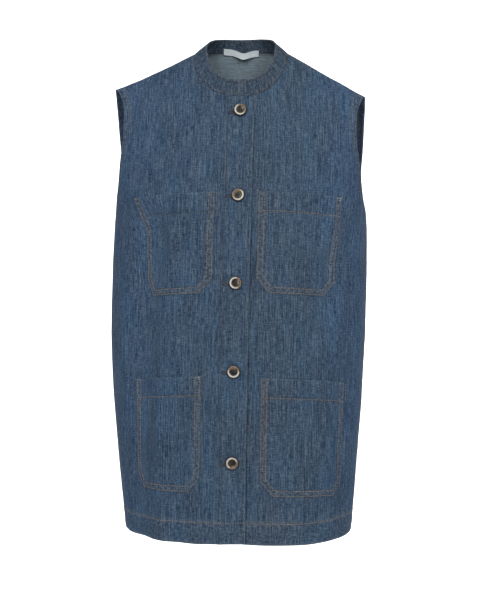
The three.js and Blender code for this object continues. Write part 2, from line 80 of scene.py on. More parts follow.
COLLAR_TOP = np.array([
    [0, -67, -46], [16, -64, -44.3], [30, -55, -37.2], [42, -40, -24], [49.5, -22, -6],
    [52, 2, 15], [48, 26, 26], [39, 44, 31.5], [24, 56, 33.5], [0, 61, 33.5],
], float)
# Large soft folds: front, side, distance across, lean, top, foot, width, depth, cloth taken up.
FOLDS = [
    (True, -1, 114, 30, -235, -709, 22, -8, 0),
    (True, -1, 114, 30, -245, -709, 22, 0, 24),
    (True, -1, 120, 24, -315, -709, 22, 0, 5),
    (True, -1, 170, 4, -250, -520, 18, 3, 0),
    (True, -1, 78, 2, -500, -690, 20, -7, 0),
    (True, -1, 60, 10, -330, -470, 26, 3, 0),
    (True, 1, 122, 6, -225, -400, 18, -5, 0),
    (True, 1, 122, 6, -285, -400, 18, 0, 8),
    (True, 1, 27, 3, -320, -600, 12, -3.5, 0),
    (True, 1, 70, 12, -360, -480, 30, 3, 0),
    (True, 1, 165, 6, -420, -680, 24, -4, 0),
    (True, 1, 95, 8, -600, -709, 26, 3, 0),
    (False, -1, 62, 12, -290, -690, 24, -6, 0),
    (False, 1, 78, -8, -250, -640, 26, -6, 0),
    (False, -1, 138, -10, -260, -520, 22, -6, 0),
    (False, 1, 146, 4, -270, -600, 22, -6, 0),
    (False, 1, 20, 6, -360, -709, 24, 4, 0),
    (False, -1, 110, 10, -480, -709, 24, 4, 0),
]
# Pockets: name, side, inner edge, width, top, height along the cloth
POCKETS = [
    ("pocket_chest_right", -1, 33, 126, -213, 144),
    ("pocket_chest_left", 1, 29, 126, -213, 144),
    ("pocket_hip_right", -1, 46, 133, -474, 168),
    ("pocket_hip_left", 1, 39, 133, -477, 168),
]
CUT_ACROSS, CUT_UP = 18, 22  # what is cut off a pocket's lower corners
OVERLAP, BAND_INNER, BAND_TOP = 19, 20, -72  # edges of the band: the lap's, the other one, and its top
SEAM_GAP, BAND_WALL, BUTTON_GAP, COLLAR_WALL = 0.3, 1.0, 0.6, 2.2
# Each button's height, turn and tilt, how far it is pulled off the band, and where its horn is clouded
BUTTONS = [
    (-96, 0.15, (0.02, -0.24), 1.9, 38),
    (-219, 2.2, (-0.03, 0.02), 0, 135),
    (-343, 0.9, (0.02, 0.03), 0, 8),
    (-468, 3.9, (-0.02, -0.02), 0, 88),
    (-597, 1.6, (0.03, 0.01), 0, -52),
]
HEM, ARMHOLE_ROW = 31, 10  # the stitching of the hem and of the armholes, from their edges
FRONT_STEP, BACK_STEP = 67, 64  # height of the lowest section in front and behind
STEPS, OVAL = 40, 0.67  # spans in which a section is measured, and the pull of a round one
SHARE_STEP, LEVEL_STEP = 0.004, 0.02  # steps over which the slope of the cloth is taken
FOLD_FADE, FOLD_THROUGH = 35, -680  # a fold fades over this height, unless its foot is below the second one
LAP_SHIFT = 1.6  # the right front lies this far forward at the lap, and the left one as far back
LEFT_DROP, RIGHT_RISE = 5, 7  # how far the shoulders are lowered and raised
HEM_SAG, CORNER_RISE = {1: 5, -1: 2.5}, {1: 0, -1: 4.2}  # of the front hem, for the left and right side

# Small creases of the scene alone, in front (True) and behind: signed distance from the centre line and
# height of both ends, half width, depth. Positive distances are on the wearer's left.
CREASES = {
    True: [
        (166, -72, 138, -122, 6, -1.5), (150, -66, 128, -104, 5, 1.0), (172, -98, 150, -156, 6, -1.3),
        (158, -92, 133, -150, 7, 0.9), (-163, -70, -140, -118, 7, -1.2), (-150, -74, -118, -132, 9, 0.8),
        (196, -226, 150, -196, 8, -1.7), (206, -248, 150, -238, 9, 1.1), (214, -268, 165, -292, 8, -1.3),
        (-192, -222, -158, -170, 8, -1.6), (-205, -240, -160, -205, 9, 1.2), (-212, -262, -176, -300, 9, -1.4),
        (66, -104, 34, -142, 8, 0.8), (-62, -100, -30, -150, 8, -0.8), (-92, -120, -84, -196, 12, 1.1),
        (96, -118, 104, -200, 13, -1.0), (34, -176, 27, -226, 7, -0.8), (-36, -160, -28, -214, 6, 0.7),
        (-98, -236, -92, -330, 10, 0.9), (-66, -250, -74, -322, 9, -0.9), (60, -242, 70, -338, 12, -0.9),
        (100, -250, 92, -330, 9, 0.8), (-34, -380, -40, -470, 9, -1.0), (-92, -376, -80, -462, 11, 1.2),
        (-148, -330, -160, -450, 10, 1.4), (40, -384, 46, -452, 8, 0.9), (116, -372, 106, -466, 12, -1.3),
        (148, -330, 152, -440, 10, 1.2), (190, -330, 176, -450, 12, -1.5), (-196, -330, -190, -430, 11, -1.2),
        (-64, -520, -58, -632, 9, 0.9), (-116, -500, -128, -620, 11, 1.3), (72, -512, 80, -630, 12, -1.0),
        (120, -520, 128, -618, 11, 1.1), (-30, -560, -36, -676, 8, 1.0), (32, -566, 27, -672, 7, 0.9),
        (190, -520, 182, -640, 12, 1.3), (-186, -520, -178, -650, 12, -1.4), (-60, -652, -64, -708, 9, -1.2),
        (62, -660, 58, -708, 9, -1.0), (130, -650, 140, -706, 11, -1.2), (-104, -655, -112, -706, 10, 1.0),
    ],
    False: [
        (160, -118, 124, -190, 9, -1.6), (172, -150, 142, -226, 8, 1.2), (-158, -112, -130, -176, 8, -1.4),
        (-170, -160, -136, -232, 9, 1.1), (60, -32, 32, -84, 10, -1.0), (-56, -30, -36, -90, 10, 0.9),
        (12, -110, 22, -230, 14, 1.2), (-40, -140, -54, -262, 13, -1.3), (96, -170, 84, -282, 12, 1.2),
        (-104, -190, -98, -300, 12, 1.1), (200, -240, 156, -214, 8, -1.5), (-202, -244, -160, -222, 8, -1.3),
        (40, -330, 28, -470, 12, -1.2), (-26, -350, -18, -480, 12, 1.1), (120, -360, 128, -480, 12, 1.2),
        (-160, -360, -150, -470, 12, 1.3), (176, -420, 168, -560, 12, -1.4), (-88, -420, -96, -540, 11, -1.1),
        (62, -520, 52, -660, 12, 1.2), (-40, -540, -30, -690, 10, -1.2), (130, -580, 138, -700, 11, -1.2),
        (-146, -560, -152, -690, 11, -1.3), (-190, -520, -184, -640, 11, 1.2), (100, -620, 96, -706, 9, 1.0),
    ],
}


def mix(a, b, t):
    return a + (b - a) * t


def ease(start, end, v):
    t = np.clip((v - start) / (end - start), 0, 1)
    return t * t * (3 - 2 * t)


def bump(v, width):
    return np.exp(-((v / width) ** 2))


def unit(v):
    return v / np.maximum(np.linalg.norm(v, axis=-1, keepdims=True), 1e-12)


def along(values, t):
    """Smooth values at positions t along evenly numbered knots, never beyond the knots' own values."""
    step = np.diff(values)
    product = step[:-1] * step[1:]
    total = np.where(product > 0, step[:-1] + step[1:], 1)
    slope = np.concatenate([[step[0]], np.where(product > 0, 2 * product / total, 0), [step[-1]]])
    i = np.clip(np.floor(t).astype(int), 0, len(values) - 2)
    f = t - i
    return (
        (2 * f**3 - 3 * f**2 + 1) * values[i]
        + (f**3 - 2 * f**2 + f) * slope[i]
        + (3 * f**2 - 2 * f**3) * values[i + 1]
        + (f**3 - f**2) * slope[i + 1]
    )


def ring(values, odd):
    """The values on the neckline, gone on past the centre line as their own mirror image."""
    sign = -1 if odd else 1
    return np.concatenate([[sign * values[1]], values, [sign * values[-2]]])


def on_ring(values, level, odd=False):
    return along(ring(values, odd), level - FRONT_NECK + 1)


def section_values(level):
    out = []
    for k in range(9):
        values = SECTIONS[:, k]
        if k not in (0, 1, 2, 7):
            out.append(along(values, level))
            continue
        low = along(values[: FRONT_NECK + 1], np.minimum(level, FRONT_NECK))
        middle = on_ring(values[FRONT_NECK : BACK_NECK + 1], np.clip(level, FRONT_NECK, BACK_NECK), k == 0)
        high = along(values[BACK_NECK:], np.maximum(level, BACK_NECK) - BACK_NECK)
        out.append(np.where(level < FRONT_NECK, low, np.where(level <= BACK_NECK, middle, high)))
    return np.array(out)


def bezier(c, t):
    s = 1 - t
    return s**3 * c[..., 0, :] + 3 * s**2 * t * c[..., 1, :] + 3 * s * t**2 * c[..., 2, :] + t**3 * c[..., 3, :]


def form(level, share):
    """Points of the smooth form, the section's nine values there and its length."""
    keys, back = np.unique(level, return_inverse=True)
    v = section_values(keys)
    inner, outer, bend = v[0:3].T, v[3:6].T, v[6][:, None]
    d = outer - inner
    near = mix(1 / 3, np.array([OVAL, 0, 0]), bend) * d
    far = mix(1 / 3, np.array([0, OVAL, 0]), bend) * d
    control = np.stack([inner, inner + near, outer - far, outer], 1)
    points = bezier(control[:, None], np.linspace(0, 1, STEPS + 1)[None, :, None])
    spans = np.linalg.norm(np.diff(points, axis=1), axis=2)
    lengths = np.concatenate([np.zeros((len(keys), 1)), np.cumsum(spans, 1)], 1)
    back = back.reshape(level.shape)
    v, control, lengths = v[:, back], control[back], lengths[back]
    length = lengths[:, -1]
    wanted = np.abs(share) * length
    i = np.minimum((lengths[:, 1:] < wanted[:, None]).sum(1), STEPS - 1)
    rows = np.arange(len(level))
    t = (i + (wanted - lengths[rows, i]) / (lengths[rows, i + 1] - lengths[rows, i])) / STEPS
    p = bezier(control, np.minimum(t, 1)[:, None])
    p += unit(control[:, 3] - control[:, 2]) * np.where(t > 1, wanted - length, 0)[:, None]
    p[:, 0] *= np.where(share < 0, -1, 1)
    return p, v, length


def fold_at(fold, side, across, z):
    """How far places lie from a fold, in its widths, and its strength at their height."""
    _, way, start, lean, top, foot, width, _, _ = fold
    centre = start + lean * np.clip((top - z) / (top - foot), 0, 1)
    rising = ease(top + FOLD_FADE, top - FOLD_FADE, z)
    falling = 1 if foot < FOLD_THROUGH else ease(foot - FOLD_FADE, foot + FOLD_FADE, z)
    return (way * side * across - centre) / width, rising * falling


def lap_shift(side, across):
    return -side * LAP_SHIFT * ease(34, 20, across)


def cloth_point(front, side, level, share):
    """Points of the outer face before its small creases, their places on the cloth and the section's ends."""
    p, v, length = form(level, share)
    across = v[0] + share * length
    edge = v[0] + length
    depth = np.zeros(len(level))
    for fold in FOLDS:
        if fold[0] == front:
            off, strength = fold_at(fold, side, across, p[:, 2])
            depth += fold[7] * strength * np.exp(-off * off)
    depth *= ease(0, 30, edge - across)
    if front:
        depth += lap_shift(side, across)
    before = np.where(level > FRONT_NECK, np.maximum(share - SHARE_STEP, 0), share - SHARE_STEP)
    t = form(level, share + SHARE_STEP)[0] - form(level, before)[0]
    outward = unit(np.stack([t[:, 1], -t[:, 0], np.zeros(len(t))], 1)) * (1 if front else -1)
    p = p + outward * depth[:, None]
    upper = ease(UNDERARM, SHOULDER, level) if front else ease(BACK_UNDERARM, SHOULDER, level)
    reach = np.clip(share, 0, 1)
    p[:, 2] += -LEFT_DROP * upper * reach * (2 - reach) if side > 0 else RIGHT_RISE * upper * reach**2
    if front:
        p[:, 2] -= HEM_SAG[side] * ease(3, 0, level) * np.sin(np.pi * reach)
        p[:, 2] += CORNER_RISE[side] * ease(1.5, 0, level) * np.sin(np.pi * reach**3)
    p[:, 0] = side * p[:, 0] + mix(v[8], v[7], 1 - (p[:, 0] / v[3]) ** 2)
    taken = np.zeros(len(level))
    for fold in FOLDS:
        if fold[8] and fold[1] == side and fold[0] == front:
            off, strength = fold_at(fold, side, across, p[:, 2])
            taken += fold[8] * strength * ease(-1, 1, off)
    low = 4 if side > 0 else -5
    down = p[:, 2] + mix(7, low, ease(-480, -640, p[:, 2])) * np.clip(across / 150, 0, 1.3) ** 2
    return p, across + taken, down, across, edge


def surface(front, side, level, share):
    """As cloth_point, with the outward normals second."""
    p, cut, down, across, edge = cloth_point(front, side, level, share)
    open_neck = (level > FRONT_NECK) & (level < BACK_NECK)
    before = np.where(open_neck, np.maximum(share - SHARE_STEP, 0), share - SHARE_STEP)
    near = [(level, share + SHARE_STEP), (level, before), (level + LEVEL_STEP, share), (level - LEVEL_STEP, share)]
    right, left, above, below = (cloth_point(front, side, *spot)[0] for spot in near)
    return p, side * unit(np.cross(right - left, above - below)), cut, down, across, edge


def lattice(ix, iy, iz, seed):
    h = (ix * 374761393 + iy * 668265263 + iz * 2246822519 + seed * 3266489917) & 0xFFFFFFFF
    h = ((h ^ (h >> 15)) * 2246822519) & 0xFFFFFFFF
    h = ((h ^ (h >> 13)) * 3266489917) & 0xFFFFFFFF
    return ((h ^ (h >> 16)) & 0xFFFF) / 32767.5 - 1


def noise(p, size, seed):
    """Smooth noise from -1 to 1 with bumps of the given size in millimetres."""
    q = p / np.asarray(size, float)
    base = np.floor(q).astype(np.int64)
    f = q - base
    f = f * f * (3 - 2 * f)
    total = np.zeros(len(p))
    for corner in range(8):
        o = [(corner >> k) & 1 for k in range(3)]
        weight = np.prod([f[:, k] if o[k] else 1 - f[:, k] for k in range(3)], axis=0)
        total += weight * lattice(base[:, 0] + o[0], base[:, 1] + o[1], base[:, 2] + o[2], seed)
    return total


def pocket_outline(pocket, inset=0.0):
    """Corners of a pocket from its top inner corner down and round to its top outer corner."""
    _, _, inner, width, top, height = pocket
    left, right, foot = inner + inset, inner + width - inset, top - height + inset
    slant = math.hypot(CUT_ACROSS, CUT_UP)
    cut_up = CUT_UP + inset * (slant - CUT_UP) / CUT_ACROSS - inset
    cut_across = CUT_ACROSS + inset * (slant - CUT_ACROSS) / CUT_UP - inset
    return np.array([
        [left, top], [left, foot + cut_up], [left + cut_across, foot],
        [right - cut_across, foot], [right, foot + cut_up], [right, top],
    ])


def outline_distance(x, z, corners):
    best = np.full(len(x), 1e9)
    for a, b in zip(corners[:-1], corners[1:]):
        d = b - a
        t = np.clip(((x - a[0]) * d[0] + (z - a[1]) * d[1]) / (d @ d), 0, 1)
        best = np.minimum(best, np.hypot(x - a[0] - t * d[0], z - a[1] - t * d[1]))
    return best


def above_hem(front, level):
    """Rough height above the hem, exact near it."""
    return level * FRONT_STEP if front else (BACK_HEM - level) * BACK_STEP


def side_seam(level):
    """Whether the outer edge is sewn to the other panel at a level, and not an armhole."""
    return (level <= UNDERARM) | (level >= BACK_UNDERARM)


def relief(front, side, level, p, cut, down, across, edge):
    """How far the small creases and puckers move the cloth out."""
    total = 0.75 * noise(p, (36, 36, 95), 3) + 0.35 * noise(p, (15, 15, 38), 7) + 0.09 * noise(p, (5, 5, 7), 11)
    x = side * across
    creased = np.zeros(len(p))
    for x0, z0, x1, z1, width, depth in CREASES[front]:
        dx, dz = x1 - x0, z1 - z0
        t = ((x - x0) * dx + (p[:, 2] - z0) * dz) / (dx * dx + dz * dz)
        c = np.clip(t, 0, 1)
        away = np.hypot(x - x0 - c * dx, p[:, 2] - z0 - c * dz)
        creased += depth * bump(away, width) * ease(0, 0.4, c) * ease(1, 0.6, c)
    sewn = side_seam(level)
    creased *= np.where(sewn, ease(0, 16, edge - across), 1)
    creased *= ease(SHOULDER, SHOULDER - 0.6, level) if front else ease(SHOULDER, SHOULDER + 0.6, level)
    total += creased
    if front:
        for pocket in POCKETS:
            if pocket[1] == side:
                away = outline_distance(cut, down, pocket_outline(pocket, 5))
                total += 0.45 * noise(p, (7, 7, 9), 17) * bump(away, 8) - 0.3 * bump(away, 5)
    hem = above_hem(front, level)
    total += 0.35 * noise(p, (8, 8, 12), 19) * bump(hem - HEM, 9)
    total += 0.35 * noise(p, (7, 7, 8), 23) * bump(edge - across - ARMHOLE_ROW, 8) * ~sewn
    total += 0.30 * noise(p, (9, 9, 8), 29) * bump(edge - across, 10) * sewn
    return total


def creased(front, side, level, share, lift=0.0):
    """As surface, with the small creases in the cloth and the points standing off it by lift."""
    level, share = (a.ravel() for a in np.broadcast_arrays(np.asarray(level, float), np.asarray(share, float)))
    p, n, cut, down, across, edge = surface(front, side, level, share)
    off = relief(front, side, level, p, cut, down, across, edge) + lift
    return p + n * off[:, None], n, cut, down, across, edge


def lifted(front, side, level, share, lift=0.0):
    """Points standing off the creased cloth by lift, and their normals."""
    return creased(front, side, level, share, lift)[:2]


def place(side, cut, down):
    """Level and share of places on a front, given across and down on the cut cloth."""
    cut, down = np.asarray(cut, float), np.asarray(down, float)
    knots = np.linspace(0, 12, 200)
    z = cloth_point(True, side, knots, np.full(200, 0.3))[0][:, 2]
    level = np.interp(down, z, knots)
    share = np.clip(cut / 255, -0.1, 1)
    for _ in range(9):
        _, c0, d0, _, _ = cloth_point(True, side, level, share)
        _, c1, d1, _, _ = cloth_point(True, side, level + 0.01, share)
        _, c2, d2, _, _ = cloth_point(True, side, level, share + 0.002)
        a, b = (c1 - c0) / 0.01, (c2 - c0) / 0.002
        c, d = (d1 - d0) / 0.01, (d2 - d0) / 0.002
        det = a * d - b * c
        u, w = cut - c0, down - d0
        level = np.clip(level + np.clip((u * d - b * w) / det, -0.5, 0.5), 0, 13)
        share = np.clip(share + np.clip((a * w - c * u) / det, -0.1, 0.1), -0.12, 1.05)
    return level, share


# ---------------------------------------------------------------- meshes

pieces = {}


def put(name, verts, faces, materials, slots=None, uv=None, attributes=(), replaces=None):
    """A mesh object in the frame, from millimetres, riding on the body."""
    mesh = bpy.data.meshes.new(name)
    mesh.from_pydata((np.asarray(verts) * 0.001).tolist(), [], [list(map(int, f)) for f in faces])
    for m in materials:
        mesh.materials.append(m)
    if slots is not None:
        mesh.polygons.foreach_set("material_index", np.asarray(slots, np.int32))
    if uv is not None:
        loops = np.empty(len(mesh.loops), np.int32)
        mesh.loops.foreach_get("vertex_index", loops)
        layer = mesh.uv_layers.new(name="UVMap")
        layer.data.foreach_set("uv", np.asarray(uv, np.float32)[loops].ravel())
    for key, values in dict(attributes).items():
        mesh.attributes.new(key, "FLOAT", "POINT").data.foreach_set("value", np.asarray(values, np.float32))
    mesh.polygons.foreach_set("use_smooth", np.ones(len(mesh.polygons), bool))
    mesh.update()
    piece = bpy.data.objects.new(name, mesh)
    bpy.context.scene.collection.objects.link(piece)
    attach(piece, "root")
    if replaces:
        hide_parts(*replaces)
    pieces[name] = piece


def grid_quads(ids):
    """Quads of a grid of vertex numbers, leaving out those with a missing corner (-1)."""
    q = np.stack([ids[:-1, :-1], ids[:-1, 1:], ids[1:, 1:], ids[1:, :-1]], -1).reshape(-1, 4)
    return q[(q >= 0).all(1)]


def shell(p, n, quads, outer, inner, rim):
    """Closed wall between two offsets of a surface with a rounded rim. rim is how far the rim swells, for each
    vertex. Returns vertices, faces, each face's kind (0 outer, 1 inner, 2 rim) and each vertex's source."""
    count = len(p)
    top, bottom = p + n * outer[:, None], p + n * inner[:, None]
    edges = np.concatenate([quads[:, [k, (k + 1) % 4]] for k in range(4)])
    keys = np.sort(edges, 1)
    _, index, uses = np.unique(keys, axis=0, return_index=True, return_counts=True)
    border = edges[index[uses == 1]]
    away = np.zeros((count, 3))
    d = unit(p[border[:, 1]] - p[border[:, 0]])
    out = np.cross(d, unit(n[border[:, 0]] + n[border[:, 1]]))
    np.add.at(away, border[:, 0], out)
    np.add.at(away, border[:, 1], out)
    away = unit(away)
    on_rim = np.unique(border)
    number = np.full(count, -1)
    number[on_rim] = 2 * count + np.arange(len(on_rim))
    middle = (top[on_rim] + bottom[on_rim]) / 2 + away[on_rim] * rim[on_rim, None]
    verts = np.concatenate([top, bottom, middle])
    a, b = border.T
    faces = np.concatenate([
        quads,
        quads[:, ::-1] + count,
        np.stack([b, a, number[a], number[b]], 1),
        np.stack([number[b], number[a], a + count, b + count], 1),
    ])
    kinds = np.repeat([0, 1, 2, 2], [len(quads), len(quads), len(border), len(border)])
    source = np.concatenate([np.arange(count), np.arange(count), on_rim])
    return verts, faces, kinds, source


def diagonal_cross(p, quads):
    return np.cross(p[quads[:, 2]] - p[quads[:, 0]], p[quads[:, 3]] - p[quads[:, 1]])


def outward_quads(p, n, quads):
    """The quads turned so that they face along the normals."""
    turned = (diagonal_cross(p, quads) * n[quads].sum(1)).sum(1) < 0
    quads = quads.copy()
    quads[turned] = quads[turned, ::-1]
    return quads


def put_wall(name, p, n, outer, inner, rim, uv, worn, materials):
    """Puts a grid of points in the place of its solid, as a closed wall between two heights above them.
    The grid has the shape of outer, and worn is the wear and the sewing at its points, if any."""
    quads = outward_quads(p, n, grid_quads(np.arange(len(p)).reshape(outer.shape)))
    verts, faces, kinds, source = shell(p, n, quads, outer.ravel(), inner.ravel(), np.full(len(p), rim))
    values = {key: at.ravel()[source] for key, at in zip(("wear", "sewn"), worn)}
    slots = np.where(kinds == 1, len(materials) - 1, 0)
    put(name, verts, faces, materials, slots, np.stack(uv, 1)[source] * 0.001, values, [name])


def distances(p):
    """How far along a line its points lie."""
    return np.concatenate([[0], np.cumsum(np.linalg.norm(np.diff(p, axis=0), axis=1))])


# ---------------------------------------------------------------- materials


class Look:
    """A material in the making, with short names for the nodes that it uses."""

    def __init__(self, name):
        self.material = bpy.data.materials.new(name)
        self.material.use_nodes = True
        self.tree = self.material.node_tree
        self.shader = self.tree.nodes["Principled BSDF"]

    def node(self, kind, inputs=None, **settings):
        made = self.tree.nodes.new("ShaderNode" + kind)
        for key, value in settings.items():
            setattr(made, key, value)
        for key, value in (inputs or {}).items():
            if isinstance(value, bpy.types.NodeSocket):
                self.tree.links.new(value, made.inputs[key])
            else:
                made.inputs[key].default_value = value
        return made

    def uv(self):
        return self.node("UVMap", uv_map="UVMap").outputs[0]

    def value_of(self, attribute):
        return self.node("Attribute", attribute_name=attribute).outputs["Fac"]

    def parts(self, vector):
        return self.node("SeparateXYZ", {0: vector}).outputs

    def scaled(self, vector, size):
        return self.node("VectorMath", {0: vector, 1: size}, operation="MULTIPLY").outputs[0]

    def maths(self, operation, a, b, clamp=False):
        return self.node("Math", {0: a, 1: b}, operation=operation, use_clamp=clamp).outputs[0]

    def add(self, a, b, clamp=False):
        return self.maths("ADD", a, b, clamp)

    def less(self, a, b):
        return self.maths("SUBTRACT", a, b)

    def times(self, a, b, clamp=False):
        return self.maths("MULTIPLY", a, b, clamp)

    def noise(self, vector, size, detail, roughness):
        """Noise of the given number of bumps a metre."""
        inputs = {"Vector": self.scaled(vector, size), "Scale": 1.0, "Detail": detail, "Roughness": roughness}
        return self.node("TexNoise", inputs).outputs[0]

    def waves(self, vector, scale, distortion, **more):
        """Diagonal waves, as of a twill or a twisted thread."""
        inputs = {"Vector": vector, "Scale": scale, "Distortion": distortion, **more}
        return self.node("TexWave", inputs, bands_direction="DIAGONAL").outputs[1]

    def ramp(self, factor, stops):
        made = self.node("ValToRGB", {0: factor})
        elements = made.color_ramp.elements
        while len(elements) < len(stops):
            elements.new(0.5)
        for element, (position, colour) in zip(elements, stops):
            element.position = position
            element.color = (*colour, 1)
        return made.outputs[0]

    def rise(self, factor, start, end):
        """From 0 to 1 between start and end."""
        return self.ramp(factor, [(start, (0, 0, 0)), (end, (1, 1, 1))])

    def blend(self, factor, a, b, kind="MIX"):
        return self.node("Mix", {0: factor, 6: a, 7: b}, data_type="RGBA", blend_type=kind).outputs[2]

    def weighted(self, start, terms):
        """start plus each noise less a half times its weight."""
        total = start
        for socket, weight in terms:
            total = self.add(total, self.times(self.less(socket, 0.5), weight))
        return total

    def finished(self, colour, roughness, height, strength, distance):
        """The material, with the shader's colour, roughness and bump linked to nodes."""
        bumps = self.node("Bump", {"Height": height, "Strength": strength, "Distance": distance}).outputs[0]
        for key, socket in (("Base Color", colour), ("Roughness", roughness), ("Normal", bumps)):
            self.tree.links.new(socket, self.shader.inputs[key])
        return self.material


# A painted light tint against how far across the vest it lies, from 0 on the right side to 1 on the left one: the
# sides are painted lighter and bluer, as if lit from the sides.
SIDE_LIGHT_TINT = [
    (0.09, (0.83, 0.865, 0.915)), (0.27, (0.80, 0.815, 0.825)), (0.60, (0.855, 0.82, 0.785)),
    (0.76, (0.855, 0.845, 0.82)), (0.91, (0.90, 0.94, 1.0)),
]
SIDE_LIGHT_LEVEL = 0.82  # what the painted side-light tints average to, made up for in the tones
WORN, BROWN = (0.15, 0.19, 0.235), (0.078, 0.071, 0.066)  # rubbed edges, and the painted shade of the seams, a dark brown


def denim(name, tones, hue, slub=1.0, worn=WORN, brown=BROWN, turned=False):
    """Woven cloth: warp streaks, weft slubs, a fine twill, uneven wash, wear along edges, painted shade along the
    seams and painted side light.
    """
    look = Look(name)
    uv, wear, sewn = look.uv(), look.value_of("wear"), look.value_of("sewn")
    if turned:
        parts = look.parts(uv)
        uv = look.node("CombineXYZ", {0: parts[1], 1: parts[0]}).outputs[0]
    long_streak = look.noise(uv, (560, 20, 1), 2, 0.6)
    short_streak = look.noise(uv, (640, 115, 1), 2, 0.6)
    thread = look.noise(uv, (2400, 500, 1), 1, 0.5)
    pucker = look.noise(uv, (260, 260, 1), 1, 0.6)
    weft = look.noise(uv, (120, 760, 1), 2, 0.6)
    wash = look.noise(uv, (26, 9, 1), 2, 0.5)
    blotch = look.noise(uv, (55, 30, 1), 2, 0.6)
    twill = look.waves(look.scaled(uv, (1, 1.9, 1)), 180.0, 0.6, Detail=1.0)
    terms = [
        (long_streak, 1.5 * slub), (short_streak, 1.5 * slub), (thread, 0.9), (weft, 1.25 * slub),
        (wash, 0.45), (blotch, 0.30), (twill, 0.14),
    ]
    gathered = look.times(sewn, look.less(pucker, 0.5))
    value = look.add(look.weighted(0.5, terms), look.times(gathered, 2.7), clamp=True)
    level = 1.0 if turned else SIDE_LIGHT_LEVEL
    dark, middle, light, worn, brown = (tuple(c / level for c in tone) for tone in (*tones, worn, brown))
    cloth = look.ramp(value, [(0.05, dark), (0.5, middle), (0.95, light)])
    tinted = look.blend(look.rise(wash, 0.35, 0.65), cloth, (*hue, 1), "MULTIPLY")
    rubbed = look.times(wear, look.add(0.35, look.times(blotch, 1.3)), clamp=True)
    # painted shade: the sewn strips are darkened towards brown, as the shaded grooves of the seams
    seam_shaded = look.blend(look.times(sewn, 0.2), tinted, (*brown, 1))
    colour = look.blend(rubbed, seam_shaded, (*worn, 1))
    if not turned:  # painted side light: the cloth is painted bluer and lighter at the sides and greyer towards the front band
        across = look.parts(look.node("NewGeometry").outputs["Position"])[0]
        side_light = look.ramp(look.add(look.times(across, 2.5), 0.5), SIDE_LIGHT_TINT)
        colour = look.blend(1.0, colour, side_light, "MULTIPLY")
    height = look.weighted(0.0, [(twill, 0.5), (thread, 0.7), (short_streak, 0.9), (weft, 0.5)])
    height = look.add(height, look.times(gathered, 3.0))
    rough = look.add(0.8, look.times(short_streak, 0.15), clamp=True)
    look.shader.inputs["Specular IOR Level"].default_value = 0.08
    return look.finished(colour, rough, height, 0.55, 0.00035)


RIGHT_SIDE = denim(
    "denim_right_side", [(0.018, 0.033, 0.060), (0.046, 0.074, 0.118), (0.105, 0.140, 0.185)], (0.78, 0.93, 1.02)
)
# A darker copy of the same denim: painted shade for the collar, whose inside lies in shade; its outside is
# darkened with it.
SHADED_COLLAR_CLOTH = denim(
    "denim_collar_shaded", [(0.012, 0.022, 0.040), (0.037, 0.060, 0.092), (0.095, 0.125, 0.160)], (0.88, 0.95, 1.0),
    slub=1.15, brown=(0.060, 0.052, 0.060),
)
WRONG_SIDE = denim(
    "denim_wrong_side", [(0.110, 0.143, 0.165), (0.190, 0.242, 0.272), (0.30, 0.36, 0.385)], (0.94, 0.98, 1.03),
    slub=0.6, worn=(0.36, 0.41, 0.44), brown=(0.21, 0.24, 0.25), turned=True,
)
CLOTH = [RIGHT_SIDE, WRONG_SIDE]


def thread_material(name, dark, light):
    look = Look(name)
    uv = look.uv()
    tone = look.noise(uv, (0.37, 0.1, 1), 2, 0.6)
    twist = look.waves(uv, 2.2, 0.4)
    colour = look.ramp(look.weighted(0.5, [(tone, 1.2), (twist, 0.35)]), [(0.1, dark), (0.9, light)])
    faded = look.ramp(look.noise(uv, (0.055, 0.01, 1), 2, 0.5), [(0.42, (0, 0, 0)), (0.68, (0.8, 0.8, 0.8))])
    colour = look.blend(faded, colour, (*(0.35 * a + 0.25 * b for a, b in zip(dark, light)), 1))
    return look.finished(colour, look.add(0.55, look.times(tone, 0.2)), twist, 0.4, 0.0001)


RUST_THREAD = thread_material("thread_rust", (0.115, 0.096, 0.085), (0.365, 0.295, 0.235))
BROWN_THREAD = thread_material("thread_brown", (0.035, 0.028, 0.030), (0.125, 0.088, 0.075))
BLUE_THREAD = thread_material("thread_denim", (0.030, 0.045, 0.068), (0.085, 0.110, 0.145))
COLLAR_THREAD = thread_material("thread_collar", (0.024, 0.028, 0.040), (0.082, 0.082, 0.098))
# The darkest thread, also used for the painted shade in the buttonholes.
DARK_THREAD_AND_HOLE_SHADE = thread_material("thread_indigo_and_hole_shade", (0.010, 0.012, 0.020), (0.05, 0.058, 0.075))
HOLE_THREAD = thread_material("thread_navy", (0.010, 0.016, 0.032), (0.045, 0.062, 0.098))
PALE_THREAD = thread_material("thread_pale", (0.42, 0.43, 0.43), (0.68, 0.69, 0.68))


